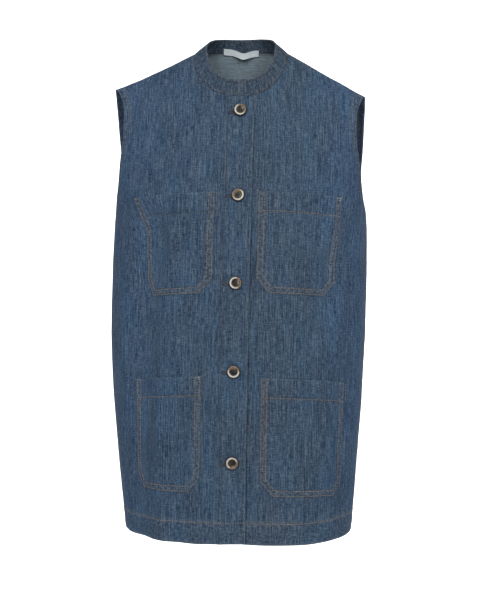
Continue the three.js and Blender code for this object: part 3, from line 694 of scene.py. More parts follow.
def horn_material():
    """Marbled horn with a dark heart, a pale ring, one clouded side and a painted shadow ring at its edge, in
    coordinates of one button radius.
    """
    look = Look("horn_marbled")
    uv = look.uv()
    far = look.node("CombineXYZ", {2: look.value_of("seed")}).outputs[0]
    spot = look.node("VectorMath", {0: uv, 1: far}, operation="ADD").outputs[0]
    radius = look.node("VectorMath", {0: uv}, operation="LENGTH").outputs["Value"]
    marble = look.noise(spot, (1.6, 1.6, 1), 4, 0.62)
    streak = look.noise(spot, (5.5, 2.2, 1), 3, 0.6)
    aside = look.parts(uv)[0]
    ring_tone = look.weighted(look.add(look.times(aside, 0.18), 0.45), [(marble, 1.5), (streak, 0.5)])
    rim = look.ramp(ring_tone, [
        (0.20, (0.57, 0.53, 0.48)), (0.42, (0.46, 0.41, 0.35)),
        (0.62, (0.42, 0.32, 0.21)), (0.85, (0.25, 0.20, 0.165)),
    ])
    heart = look.ramp(look.weighted(0.5, [(marble, 1.6), (streak, 0.9)]), [
        (0.15, (0.004, 0.004, 0.004)), (0.45, (0.014, 0.014, 0.012)),
        (0.7, (0.036, 0.030, 0.018)), (1.0, (0.085, 0.062, 0.034)),
    ])
    cloud = look.ramp(look.weighted(0.5, [(marble, 1.6), (streak, 0.8)]), [
        (0.1, (0.060, 0.038, 0.016)), (0.45, (0.130, 0.085, 0.045)),
        (0.7, (0.150, 0.125, 0.115)), (1.0, (0.26, 0.22, 0.18)),
    ])
    clouded_side = look.rise(look.weighted(look.add(aside, look.times(radius, 0.25)), [(marble, 0.5)]), 0.40, 0.54)
    ring_from = look.rise(look.weighted(look.less(radius, look.times(aside, 0.04)), [(marble, 0.10)]), 0.60, 0.67)
    clouded = look.blend(look.times(look.rise(radius, 0.74, 0.88), 0.45), cloud, rim)
    faced = look.blend(clouded_side, look.blend(ring_from, heart, rim), clouded)
    # painted shadow: near black from 0.83 of the radius out, over the edge and the underside, as the dark ring of
    # shade round the button; the underside is also taken as dark horn
    colour = look.blend(look.rise(radius, 0.83, 0.89), faced, (0.016, 0.012, 0.009, 1))
    look.shader.inputs["Specular IOR Level"].default_value = 0.3
    look.shader.inputs["Coat Weight"].default_value = 0.08
    return look.finished(colour, look.add(0.30, look.times(streak, 0.22)), streak, 0.15, 0.0001)


def ribbon_material():
    look = Look("ribbon_woven")
    uv = look.uv()
    weft = look.noise(uv, (300, 2600, 1), 2, 0.5)
    warp = look.noise(uv, (2400, 260, 1), 2, 0.5)
    cloudy = look.noise(uv, (70, 60, 1), 2, 0.5)
    tone = look.weighted(0.5, [(weft, 0.7), (warp, 0.7), (cloudy, 0.5)])
    colour = look.ramp(tone, [(0.1, (0.37, 0.42, 0.44)), (0.5, (0.53, 0.59, 0.61)), (0.9, (0.67, 0.72, 0.74))])
    height = look.weighted(0.0, [(weft, 1.0), (warp, 1.0)])
    look.shader.inputs["Sheen Weight"].default_value = 0.2
    return look.finished(colour, look.add(0.55, look.times(weft, 0.2)), height, 0.5, 0.0002)


HORN = horn_material()
RIBBON = ribbon_material()


# ---------------------------------------------------------------- panels

SPACING = 3.3
# Distances of the rows from the hem, and of the columns from the centre line and from the outer edge
HEM_ROWS = [0, 1.1, 2.6, 5, 8, 11.2, 14.4, 17.6, 20.8, 24, 26.8, 28.6, 29.8, 31, 32.2, 33.6, 36.2]
NEAR_INNER = [0, 1.2, 2.6, 5.0]
NEAR_OUTER = [12.8, 11.3, 10, 8.7, 6.2, 3.4, 1.2, 0]
UNDER_LAP = [-OVERLAP, -OVERLAP + 1.1, -OVERLAP + 2.6, -13.5, -10.5, -7.5, -4.5, -2]
MIDDLE_COLUMNS = 64


def spread(first, last):
    """Levels between two sections, close enough for the widest step between them."""
    levels = []
    for k in range(first, last):
        gaps = SECTIONS[k + 1, :6] - SECTIONS[k, :6]
        gap = max(np.linalg.norm(gaps[:3]), np.linalg.norm(gaps[3:]))
        count = max(3, math.ceil(gap / SPACING))
        levels += [k + i / count for i in range(count)]
    return levels


LOW_ROWS = [d / FRONT_STEP for d in HEM_ROWS]
LOW_ROWS += [level for level in spread(0, UNDERARM) if level > 39 / FRONT_STEP]
AT_SEAM = [0, 0.025, 0.06]  # levels close to the shoulder seam
FRONT_ROWS = LOW_ROWS + spread(UNDERARM, SHOULDER) + [SHOULDER - d for d in AT_SEAM]
FRONT_ROWS = np.unique(np.round(FRONT_ROWS, 6))
BACK_ROWS = [SHOULDER + d for d in AT_SEAM] + spread(SHOULDER, BACK_UNDERARM)
BACK_ROWS = np.unique(np.round(BACK_ROWS + [BACK_HEM - level for level in LOW_ROWS + [UNDERARM]], 6))


def panel_half(front, side, levels):
    """One half of a panel as a grid: points, normals, places and distances, row by row."""
    length = form(levels, np.ones(len(levels)))[2]
    middle = np.linspace(0, 1, MIDDLE_COLUMNS + 2)[1:-1]
    start, end = NEAR_INNER[-1], length - 15
    distance = np.concatenate([
        np.tile(NEAR_INNER, (len(levels), 1)),
        start + middle[None] * (end[:, None] - start),
        length[:, None] - np.array(NEAR_OUTER)[None],
    ], 1)
    if front:
        distance = np.concatenate([np.tile(UNDER_LAP, (len(levels), 1)), distance], 1)
    missing = (distance < 0) & (levels[:, None] > FRONT_NECK)
    share = np.where(missing, 0, distance / length[:, None])
    level = np.repeat(levels, share.shape[1])
    values = (*creased(front, side, level, share.ravel()), level, np.full(level.size, side))
    grid = {
        key: value.reshape(*share.shape, *value.shape[1:])
        for key, value in zip(("p", "n", "cut", "down", "across", "edge", "level", "side"), values)
    }
    grid["missing"] = missing
    grid["neck"] = grid["across"] - section_values(levels)[0][:, None]
    return grid


def share_edge(pairs):
    """Gives sewn places the same point and normal on both panels."""
    for a, i, b, j in pairs:
        for key in ("p", "n"):
            mean = (a[key][i] + b[key][j]) / 2
            a[key][i] = b[key][j] = unit(mean) if key == "n" else mean


FAR = 99.0  # beyond the reach of an edge


def panel_walls(grid, front):
    """Outer and inner offsets, swelling of the rim, wear, sewing and the parts turned to the right side."""
    level, outer_edge = grid["level"], grid["edge"] - grid["across"]
    hem = above_hem(front, level)
    sewn = side_seam(level)
    lap = np.where((level <= FRONT_NECK) & front, grid["across"] + OVERLAP, FAR)
    neck = np.where((level >= FRONT_NECK) & (level <= BACK_NECK), grid["neck"], FAR)
    shoulder_row = grid["p"][-1 if front else 0][None]
    shoulder = np.where(np.abs(level - SHOULDER) < 2, np.linalg.norm(grid["p"] - shoulder_row, axis=2), FAR)
    uneven = noise(grid["p"].reshape(-1, 3), (30, 30, 60), 31).reshape(level.shape)
    rope = np.sin((grid["p"][..., 0] * (1 if front else -1) + 0.7 * hem) / 2.1 + 2 * uneven)
    outer = (
        -0.8 * bump(outer_edge, 1.7) * sewn
        - 0.8 * bump(shoulder, 1.9)
        - (0.5 + 0.45 * ease(14, 12, level)) * bump(neck, 2.2)
        + 0.35 * ease(33, 29.5, hem)
        - 0.55 * bump(hem - HEM, 1.5)
        + 0.20 * rope * ease(31, 27, hem) * ease(0, 5, hem)
        + (0.35 * ease(12.5, 8.5, outer_edge) - 0.55 * bump(outer_edge - ARMHOLE_ROW, 1.5)) * ~sewn
    )
    thick = (
        1.0
        + 1.1 * ease(32.4, 31.6, hem)
        + 1.0 * ease(11.8, 10.9, outer_edge) * ~sewn
        + 0.8 * ease(12.3, 11.6, outer_edge) * sewn
        + 0.9 * ease(56, 55, lap)
        + 0.5 * ease(9, 8, neck)
    )
    turned = (hem < HEM + 0.5) | ((outer_edge < 11) & ~sewn) | (lap < 54)
    rim = 0.45 * np.ones(level.shape)
    rim = np.where((outer_edge < 0.01) & sewn | (shoulder < 0.01) | (neck < 0.01), 0.0, rim)
    wear = 0.30 * bump(hem, 2.2) + 0.22 * bump(lap, 1.8) + 0.20 * bump(outer_edge, 1.8) * ~sewn
    wear += 0.18 * bump(hem - HEM - 1.5, 3) + 0.15 * bump(outer_edge - 3, 2.5) * sewn
    wear += 0.14 * bump(outer_edge - ARMHOLE_ROW - 1.5, 3) * ~sewn
    strip = 0.8 * ease(12.5, 10, outer_edge) * ~sewn + 0.7 * bump(hem - HEM, 3.5) + 0.35 * ease(31, 28, hem)
    strip += 0.5 * bump(outer_edge - 2, 3) * sewn + 0.4 * bump(neck, 4)
    return dict(outer=outer, inner=-thick, rim=rim, wear=wear, turned=turned, sewn=np.minimum(strip, 1))


def add_panel(name, halves, front):
    """halves are one or two grids; two are joined where they share the centre line."""
    data = [dict(grid, **panel_walls(grid, front)) for grid in halves]
    ids, count = [], 0
    for grid in data:
        number = count + np.arange(grid["level"].size).reshape(grid["level"].shape)
        if ids:
            joined = grid["level"][:, 0] >= BACK_NECK - 1e-9
            number[joined, 0] = ids[0][joined, 0]
        number[grid["missing"]] = -1
        ids.append(number)
        count += grid["level"].size
    keys = ("p", "n", "side", "outer", "inner", "rim", "wear", "sewn", "cut", "down", "turned")
    flat = {key: np.concatenate([g[key].reshape(g["level"].size, -1) for g in data]) for key in keys}
    quads = np.concatenate([grid_quads(i) for i in ids])
    quads = quads[np.linalg.norm(diagonal_cross(flat["p"], quads), axis=1) > 1e-3]  # not those shrunk to a line
    quads = outward_quads(flat["p"], flat["n"], quads)
    used = np.unique(quads)
    renumber = np.full(count, -1)
    renumber[used] = np.arange(len(used))
    get = {key: flat[key][used, 0] for key in keys}
    p, n = flat["p"][used], flat["n"][used]
    verts, faces, kinds, source = shell(p, n, renumber[quads], get["outer"], get["inner"], get["rim"])
    uv = np.stack([get["side"] * get["cut"], get["down"]], 1)[source] * 0.001
    uv[:, 0] += 0 if front else 3.3
    slots = np.where((kinds == 1) & ~get["turned"][source[faces[:, 0]]], 1, 0)
    values = {key: get[key][source] for key in ("wear", "sewn")}
    put(name, verts, faces, CLOTH, slots, uv, values, replaces=[name])


def make_panels():
    """The four halves, with the same points on both sides of every seam."""
    fronts = {side: panel_half(True, side, FRONT_ROWS) for side in (-1, 1)}
    backs = {side: panel_half(False, side, BACK_ROWS) for side in (-1, 1)}
    pairs = []
    for side in (-1, 1):
        a, b = fronts[side], backs[side]
        for i in np.nonzero(FRONT_ROWS <= UNDERARM + 1e-9)[0]:
            j = int(np.argmin(np.abs(BACK_ROWS - (BACK_HEM - FRONT_ROWS[i]))))
            pairs.append((a, (i, -1), b, (j, -1)))
        columns = b["level"].shape[1]
        pairs += [(a, (-1, len(UNDER_LAP) + c), b, (0, c)) for c in range(columns)]
    pairs += [(backs[1], (i, 0), backs[-1], (i, 0)) for i in np.nonzero(BACK_ROWS >= BACK_NECK - 1e-9)[0]]
    share_edge(pairs)
    return fronts, backs


FRONTS, BACKS = make_panels()
add_panel("front_right", [FRONTS[-1]], True)
add_panel("front_left", [FRONTS[1]], True)
add_panel("back", [BACKS[1], BACKS[-1]], False)


# ---------------------------------------------------------------- pieces laid on the fronts


def ends(first, last, near, spacing):
    """Positions from first to last with the near distances repeated at both ends."""
    inner = np.linspace(first + near[-1], last - near[-1], int((last - first - 2 * near[-1]) / spacing) + 2)[1:-1]
    return np.concatenate([first + np.array(near), inner, last - np.array(near)[::-1]])


POCKET_ROWS, POCKET_HEM = (1.6, 8.4), 27.5  # two rows of stitching round the edge, and that of the hem
LAID = 0.12  # height above a front at which a piece laid on it ends


def add_pocket(pocket):
    name, side, inner, width, top, height = pocket
    depth = np.concatenate([
        [0, 0.9, 2.2], np.arange(5, 25, 3.0), [26.2, 27.5, 28.8],
        np.arange(31.5, height - CUT_UP - 1, 2.9), [height - CUT_UP],
        height - np.array([19.5, 17, 14.5, 12, 9.8, 8.4, 7, 4.6, 2.9, 1.6, 0.7, 0]),
    ])
    across = ends(0, width, [0, 0.7, 1.6, 2.9, 5.2, 7.2, 8.4, 9.7], 3.1)
    into = np.clip((depth - (height - CUT_UP)) / CUT_UP, 0, 1)[:, None]
    left, right = CUT_ACROSS * into, width - CUT_ACROSS * into
    x = left + across[None] / width * (right - left)
    y = np.repeat(depth[:, None], x.shape[1], 1)
    edge = outline_distance((inner + x).ravel(), (top - y).ravel(), pocket_outline(pocket)).reshape(x.shape)
    flat = np.stack([x.ravel() + 7 * len(name), y.ravel(), np.zeros(x.size)], 1)
    rough = noise(flat, (9, 9, 1), 41).reshape(x.shape)
    wide = noise(flat, (38, 55, 1), 43).reshape(x.shape)
    wobble = noise(flat, (24, 24, 1), 47).reshape(x.shape)
    mouth = ease(34, 0, y) * np.sin(np.pi * np.clip(x / width, 0, 1)) ** 0.8
    band = ease(29.5, 26.5, y)
    outer = (
        1.2 + 0.2 * ease(12, 8.5, edge) - 0.45 * bump(edge, 2.6) + 0.15 * band - 0.5 * bump(y, 2.4)
        + 0.5 * mouth + 0.35 * wide * ease(3, 20, edge)
        - 0.55 * bump(edge - POCKET_ROWS[0], 1.1) - 0.45 * bump(edge - POCKET_ROWS[1], 1.3)
        - 0.5 * bump(y - POCKET_HEM, 1.4)
        + 0.22 * rough * bump(edge - 5, 5) + 0.16 * rough * bump(y - 24, 9)
    )
    wall = 0.85 + 0.3 * ease(12, 8.5, edge) + 0.35 * band
    inner_face = np.minimum(np.maximum(outer - wall, LAID), outer - 0.45)
    wear = 0.16 * bump(edge, 1.3) + 0.10 * bump(edge - 5, 2.2) + 0.14 * bump(y, 1.6) + 0.06 * bump(y - 29.5, 2)
    cut, down = inner + x + 0.5 * wobble * (edge < 12), top - y + 0.4 * wobble
    hem_seen = 0.6 if name != "pocket_chest_right" else 0.0
    sewn = np.maximum(ease(11.5, 9, edge), hem_seen * bump(y - POCKET_HEM, 3))
    p, n = creased(True, side, *place(side, cut.ravel(), down.ravel()))[:2]
    uv = (side * cut.ravel() + 1000 * (1 + len(pieces)) * 0.37, down.ravel())
    put_wall(name, p, n, outer, inner_face, 0.4, uv, (wear, sewn), CLOTH)


for pocket in POCKETS:
    add_pocket(pocket)


def level_at(z):
    """Level at which the centre line of the front reaches a height."""
    knots = np.linspace(0, FRONT_NECK, 400)
    heights = cloth_point(True, -1, knots, np.zeros(400))[0][:, 2]
    return np.interp(z, heights, knots)


BAND_LIFT = SEAM_GAP + BAND_WALL


def add_band():
    rows = np.append(FRONT_ROWS[FRONT_ROWS < level_at(BAND_TOP)], level_at(BAND_TOP))[:, None]
    length = form(rows.ravel(), np.ones(len(rows)))[2]
    across = ends(-OVERLAP, BAND_INNER, [0, 0.7, 1.6, 2.9], 3.1)
    share = across[None] / length[:, None]
    p, n, _, down, x, _ = creased(True, -1, rows, share)
    flat = np.stack([x, p[:, 2], np.zeros(len(p))], 1)
    rough = noise(flat, (8, 9, 1), 53).reshape(share.shape)
    soft = noise(flat, (14, 40, 1), 59).reshape(share.shape)
    uv = (-x + 5210, down)
    x, hem = x.reshape(share.shape), rows * FRONT_STEP
    outer = (
        BAND_LIFT - 0.15 + 0.15 * soft - 0.35 * bump(x - BAND_INNER, 3)
        - 0.5 * bump(x - BAND_INNER + 1.7, 1.2) + 0.2 * rough * bump(x - BAND_INNER + 3, 5)
        - 0.45 * bump(hem - HEM, 1.5) + 0.15 * rough * bump(x + OVERLAP, 5)
    )
    wear = 0.08 * bump(x - BAND_INNER, 1.2) + 0.22 * bump(x + OVERLAP, 1.4) + 0.3 * bump(hem, 2)
    sewn = 0.4 * bump(x - BAND_INNER + 2, 3) + 0.5 * bump(x + OVERLAP, 4) + 0.4 * ease(31, 28, hem)
    put_wall("buttonhole_band", p, n, outer, np.full(len(p), LAID), 0.4, uv, (wear, sewn), CLOTH)


add_band()


# ---------------------------------------------------------------- collar and neck label


def collar_point(walk, rise):
    """Points on the collar: walk runs from -1 to 1 round it from its right to its left end, by way of the
    back, and rise from 0 at the neckline to 1 at its top edge."""
    level = BACK_NECK - np.abs(walk) * (BACK_NECK - FRONT_NECK)
    neck = SECTIONS[FRONT_NECK : BACK_NECK + 1]
    x0, y0, z0 = on_ring(neck[:, 0], level, True), on_ring(neck[:, 1], level), on_ring(neck[:, 2], level)
    x1, y1, z1 = (on_ring(COLLAR_TOP[:, k], level, k == 0) for k in range(3))
    sign = np.sign(walk)
    follow = np.where(level < SHOULDER, lap_shift(sign, x0) * (1 - rise), 0)
    return np.stack([
        sign * mix(x0, x1, rise) + on_ring(neck[:, 7], level),
        mix(y0, y1, rise) - follow,
        mix(z0, z1, rise),
    ], 1)


def collar_frame(walk, rise):
    """Points on the collar and their outward normals."""
    step = 0.004
    sideways = collar_point(walk + step, rise) - collar_point(walk - step, rise)
    up = collar_point(walk, rise + step) - collar_point(walk, rise - step)
    return collar_point(walk, rise), unit(np.cross(up, sideways))


NOUGHT = np.zeros(1)
COLLAR_HEIGHT = float(np.linalg.norm(collar_point(NOUGHT, NOUGHT) - collar_point(NOUGHT, NOUGHT + 1)))
END_WALK = 1 - 0.6 / 20 / 9  # where the collar's ends stop, just short of the centre line


def collar_walks():
    """Positions round the collar about 3 mm apart, closer at its two ends, and half its length."""
    w = np.linspace(0, END_WALK, 600)
    s = distances(collar_point(w, np.zeros(600)))
    marks = np.concatenate([np.linspace(0, s[-1] - 4, int(s[-1] / 3)), s[-1] - np.array([2.8, 1.6, 0.7, 0])])
    half = np.interp(marks, s, w)
    return np.concatenate([-half[:0:-1], half]), np.concatenate([-marks[:0:-1], marks]), s[-1]


def collar_softness(p, height):
    return 0.5 * noise(p, (22, 22, 14), 61) * ease(0, 8, height)


def add_collar():
    walks, marks, total = collar_walks()
    rises = np.array([-0.3, 0.9, 2.2, 3.4, 6, 9, 12, 15, 18, 21, 24, 26.5, 28]) / 30.5
    rises = np.concatenate([rises[rises < 0.9], 1 - np.array([2.6, 1.4, 0.6, 0]) / 30.5])
    walk, rise = np.meshgrid(walks, rises, indexing="ij")
    p, n = collar_frame(walk.ravel(), rise.ravel())
    height, mark = rise.ravel() * COLLAR_HEIGHT, np.repeat(marks, len(rises))
    soft = collar_softness(p, height) + 0.12 * noise(p, (6, 6, 6), 67)
    end, top = total - np.abs(mark), COLLAR_HEIGHT - height
    outer = (
        soft - 0.45 * bump(height - 2.2, 1.2) - 0.4 * bump(top - 2.6, 1.2) - 0.35 * bump(end - 2.2, 1.1)
        + 0.3 * bump(height - 8, 7) + 0.14 * noise(p, (5, 5, 5), 71) * (bump(top - 3, 4) + bump(height - 2, 4))
    )
    inner = -COLLAR_WALL + soft + 0.35 * bump(top - 2.6, 1.2)
    wear = 0.25 * bump(top, 1.6) + 0.35 * bump(end, 1.3) + 0.08 * bump(height - 4, 2.5)
    sewn = np.minimum(0.9 * bump(top - 2, 4) + 0.9 * bump(height - 2, 4) + 0.6 * bump(end, 4), 1)
    uv = (mark + 7430, height)
    put_wall("collar", p, n, outer.reshape(walk.shape), inner, 0.6, uv, (wear, sewn), [SHADED_COLLAR_CLOTH])


add_collar()

LABEL_LENGTH, LABEL_ASIDE, LABEL_SLOPE = 56.6, -3.0, -1.5
LABEL_SAG, LABEL_AWAY, LABEL_TIP = 4.2, 5.5, 0.28  # where it hangs freest: down, off the collar, and its lean
LABEL_HEIGHTS = [-5, -4.7, -3.9, -2.2, 0, 2.2, 3.4, 4.2, 4.5]


def label_point(t, height):
    """t runs from -1 to 1 along the ribbon, which hangs away from the collar in its middle."""
    hang = bump(t - 0.14, 0.40) * (1 - t**6)
    pace = float(np.linalg.norm(collar_point(NOUGHT + 0.02, NOUGHT) - collar_point(NOUGHT - 0.02, NOUGHT))) / 0.04
    rise = (1.5 + LABEL_SLOPE * t - LABEL_SAG * hang) / COLLAR_HEIGHT
    p, n = collar_frame((t * LABEL_LENGTH / 2 + LABEL_ASIDE) / pace, rise)
    upright = unit(collar_point(NOUGHT, NOUGHT + 1) - collar_point(NOUGHT, NOUGHT))
    tip = LABEL_TIP * hang
    up = upright * np.cos(tip)[:, None] + n * np.sin(tip)[:, None]
    return p - n * (COLLAR_WALL + SEAM_GAP + LABEL_AWAY * hang)[:, None] + up * height[:, None], -n


def add_label():
    grid = np.meshgrid(np.linspace(-1, 1, 73), LABEL_HEIGHTS, indexing="ij")
    t, height = (a.ravel() for a in grid)
    flat = np.stack([t * 30, height, np.zeros(t.size)], 1)
    p, n = label_point(t, height)
    end = (1 - np.abs(t)) * LABEL_LENGTH / 2
    outer = 0.55 + 0.35 * ease(6.2, 5.2, end) + 0.16 * noise(flat, (5, 4, 1), 73)
    outer += 0.25 * bump(np.abs(height) - 4.6, 0.8)
    outer -= 0.3 * bump(end - 3, 0.8)
    outer = outer.reshape(grid[0].shape)
    uv = (t * LABEL_LENGTH / 2, height)
    put_wall("neck_label", p, n, outer, np.minimum(outer - 0.5, 0.15), 0.15, uv, (), [RIBBON])


add_label()


# ---------------------------------------------------------------- sewing

RING = 6
ANGLES = np.arange(RING) * 2 * math.pi / RING


def stitch_mesh(starts, stops, normals, width, height):
    """Short rounded stitches from starts to stops, lying on the cloth. Returns vertices, faces and coordinates."""
    count = len(starts)
    d = stops - starts
    forward = d / np.linalg.norm(d, axis=1, keepdims=True)
    sideways = unit(np.cross(normals, forward))
    up = np.cross(forward, sideways)
    rings = [(0.10, 0.72, -0.15), (0.5, 1.0, 0.55), (0.90, 0.72, -0.15)]  # place along it, size, height
    verts = [starts - up * height * 0.6]
    for t, size, rise in rings:
        centre = starts + d * t + up * (height * rise)
        for angle in ANGLES:
            across, above = math.cos(angle) * width / 2 * size, math.sin(angle) * height / 2 * size
            verts.append(centre + sideways * across + up * above)
    verts.append(stops - up * height * 0.6)
    per = len(verts)
    verts = np.stack(verts, 1).reshape(-1, 3)
    faces = []
    for k in range(RING):
        j = (k + 1) % RING
        faces.append([0, 1 + j, 1 + k, 1 + k])
        for a in range(1, per - 1 - RING, RING):
            faces.append([a + k, a + j, a + RING + j, a + RING + k])
        last = per - 1 - RING
        faces.append([last + k, last + j, per - 1, per - 1])
    faces = (np.array(faces)[None] + (np.arange(count) * per)[:, None, None]).reshape(-1, 4)
    t = np.array([0] + [r[0] for r in rings for _ in range(RING)] + [1])
    uv = np.stack([np.repeat(np.arange(count) * 1.7, per), np.tile(t * 2, count)], 1)
    return verts, without_doubles(faces), uv


def without_doubles(faces):
    """Faces without a corner that they name twice, so that some are triangles."""
    return [list(dict.fromkeys(face)) for face in faces.tolist()]


def add_sewing(name, runs, material):
    """Joins runs of (starts, stops, normals, width, height) into one piece."""
    verts, faces, uvs, start = [], [], [], 0
    for k, run in enumerate(runs):
        v, f, uv = stitch_mesh(*run)
        verts.append(v)
        faces += [[i + start for i in face] for face in f]
        uvs.append(uv + [17.3 * k, 0])
        start += len(v)
    put(name, np.concatenate(verts), faces, [material], None, np.concatenate(uvs))


def stitches_along(p, n, pitch=3.5, length=2.9, width=0.85, height=0.5, seed=1):
    """Stitches of even length along a line of points."""
    s = distances(p)
    count = max(1, int(s[-1] / pitch))
    rng = np.random.default_rng(seed)
    begin = (np.arange(count) + 0.1) * s[-1] / count + rng.uniform(-0.12, 0.12, count)

    def at(q, values):
        return np.stack([np.interp(q, s, values[:, k]) for k in range(3)], 1)

    sway = unit(np.cross(at(begin, n), at(begin + 1, p) - at(begin, p)))
    drift = rng.uniform(-0.08, 0.08, (count, 1))
    starts, stops = at(begin, p) + sway * drift, at(begin + length, p) - sway * drift
    return starts, stops, unit(at(begin + length / 2, n)), width, height


def densify(corners, spacing=1.5):
    """Points close together along a line with corners."""
    corners = np.asarray(corners, float)
    out = [corners[:1]]
    for a, b in zip(corners[:-1], corners[1:]):
        count = max(1, int(np.linalg.norm(b - a) / spacing))
        out.append(a + (b - a) * (np.arange(1, count + 1) / count)[:, None])
    return np.concatenate(out)


def line_on_front(side, corners, lift):
    line = densify(corners)
    level, share = place(side, line[:, 0], line[:, 1])
    return lifted(True, side, level, share, lift)


PALE_TACKS = {"pocket_chest_left": "outer", "pocket_hip_right": "inner"}  # pale stitches at an upper corner

for index, pocket in enumerate(POCKETS):
    name, side, inner, width, top, _ = pocket
    runs = []
    for row, inset in enumerate(POCKET_ROWS):
        corners = pocket_outline(pocket, inset)
        runs.append(stitches_along(*line_on_front(side, corners, 1.2), seed=10 * index + row))
    hem = [[inner + 1.5, top - POCKET_HEM], [inner + width - 1.5, top - POCKET_HEM]]
    hem_run = stitches_along(*line_on_front(side, hem, 1.5), seed=10 * index + 5)
    if index:
        runs.append(hem_run)
    else:
        add_sewing("stitching_" + name + "_hem", [hem_run], BLUE_THREAD)
    for x, way in ((inner + 1.6, 1), (inner + width - 1.6, -1)):  # bars of close stitches beside the opening
        bar = [[x, top - 1.8], [x + 6.6 * way, top - 1.8]]
        runs.append(stitches_along(*line_on_front(side, bar, 1.75), pitch=2.2, length=2.0, seed=7))
    add_sewing("stitching_" + name, runs, RUST_THREAD)
    if name in PALE_TACKS:
        x = inner + 3 if PALE_TACKS[name] == "inner" else inner + width - 3
        rows = [line_on_front(side, [[x + d, top], [x + d - 1.5, top - 5.0]], 1.9) for d in (0.0, 1.1)]
        tacks = [stitches_along(*row, pitch=2.5, length=2.1, width=0.8, seed=8) for row in rows]
        add_sewing("stitching_" + name + "_tack", tacks, PALE_THREAD)


def hem_runs(inside):
    runs = []
    for front in (True, False):
        level = HEM / FRONT_STEP if front else BACK_HEM - HEM / BACK_STEP
        length = float(form(np.array([level]), np.ones(1))[2][0])
        for side in (-1, 1):
            first = -OVERLAP + 1 if front and side < 0 else (21 if front and not inside else 0)
            x = np.arange(first, length - 0.5, 1.5)
            if inside:
                lift = np.where((x < 36) & front, -3.05, -2.2)
            else:
                lift = np.where((x < BAND_INNER) & front & (side < 0), BAND_LIFT - 0.35, -0.02)
            p, n = lifted(front, side, level, x / length, lift)
            runs.append(stitches_along(p, -n if inside else n, seed=31 + side + 2 * front + 4 * inside))
    return runs


def armhole_runs(inside):
    runs = []
    halves = [(True, np.linspace(UNDERARM + 0.06, SHOULDER, 170))]
    halves.append((False, np.linspace(SHOULDER, BACK_UNDERARM - 0.06, 170)[1:]))
    for side in (-1, 1):
        lines = []
        for front, levels in halves:
            share = 1 - ARMHOLE_ROW / form(levels, np.ones(len(levels)))[2]
            lines.append(lifted(front, side, levels, share, -2.0 if inside else -0.05))
        p, n = (np.concatenate(parts) for parts in zip(*lines))
        runs.append(stitches_along(p, -n if inside else n, seed=51 + side + 4 * inside))
    return runs


add_sewing("stitching_hem", hem_runs(False) + hem_runs(True), RUST_THREAD)
add_sewing("stitching_armholes", armhole_runs(False) + armhole_runs(True), BROWN_THREAD)


def band_run():
    x = BAND_INNER - 1.7
    levels = np.linspace(level_at(-709), level_at(BAND_TOP - 1.5), 420)
    length = form(levels, np.ones(420))[2]
    return stitches_along(*lifted(True, -1, levels, x / length, BAND_LIFT - 0.5), seed=71)


add_sewing("stitching_band", [band_run()], COLLAR_THREAD)


def collar_runs():
    walks = np.linspace(-END_WALK + 0.006, END_WALK - 0.006, 500)
    thread = dict(length=2.7, width=0.65)
    runs = []
    for inside in (False, True):
        for height in (2.2, COLLAR_HEIGHT - 2.6):
            p, n = collar_frame(walks, np.full(500, height / COLLAR_HEIGHT))
            off = collar_softness(p, height) + (-COLLAR_WALL + 0.05 if inside else -0.3)
            runs.append(stitches_along(p + n * off[:, None], -n if inside else n, seed=81, **thread))
    for sign in (-1, 1):
        rises = np.linspace(3, COLLAR_HEIGHT - 3, 30)
        p, n = collar_frame(np.full(30, sign * (END_WALK - 0.0105)), rises / COLLAR_HEIGHT)
        runs.append(stitches_along(p - n * 0.2, n, seed=83, **thread))
    return runs


add_sewing("stitching_collar", collar_runs(), COLLAR_THREAD)


def label_runs():
    runs = []
    for sign in (-1, 1):
        heights = np.linspace(-4.5, 4.1, 20)
        p, n = label_point(np.full(20, sign * (1 - 3 / (LABEL_LENGTH / 2))), heights)
        runs.append(stitches_along(p + n * 0.62, n, pitch=2.2, length=1.6, width=0.4, height=0.3, seed=91))
    return runs


add_sewing("stitching_label", label_runs(), PALE_THREAD)


EYE, SLIT_START, HOLE_BELOW = 14.4, -3.5, 1.5  # both ends of a buttonhole, and how far it lies below its button


def keyhole(grow):
    """Outline of a buttonhole in millimetres from its button: a slit that ends in a round eye."""
    slim, bold = 0.9 + grow, 2.0 + grow
    turn = math.asin(min(1, slim / bold))
    angles = np.linspace(math.pi - turn, turn - math.pi, 22)
    round_end = np.stack([EYE + bold * np.cos(angles), bold * np.sin(angles)], 1)
    run = np.linspace(round_end[-1, 0], SLIT_START - grow, 16)[1:]
    below = np.stack([run, np.full(len(run), -slim)], 1)
    above = np.stack([run[::-1], np.full(len(run), slim)], 1)
    return np.concatenate([round_end, below, above])


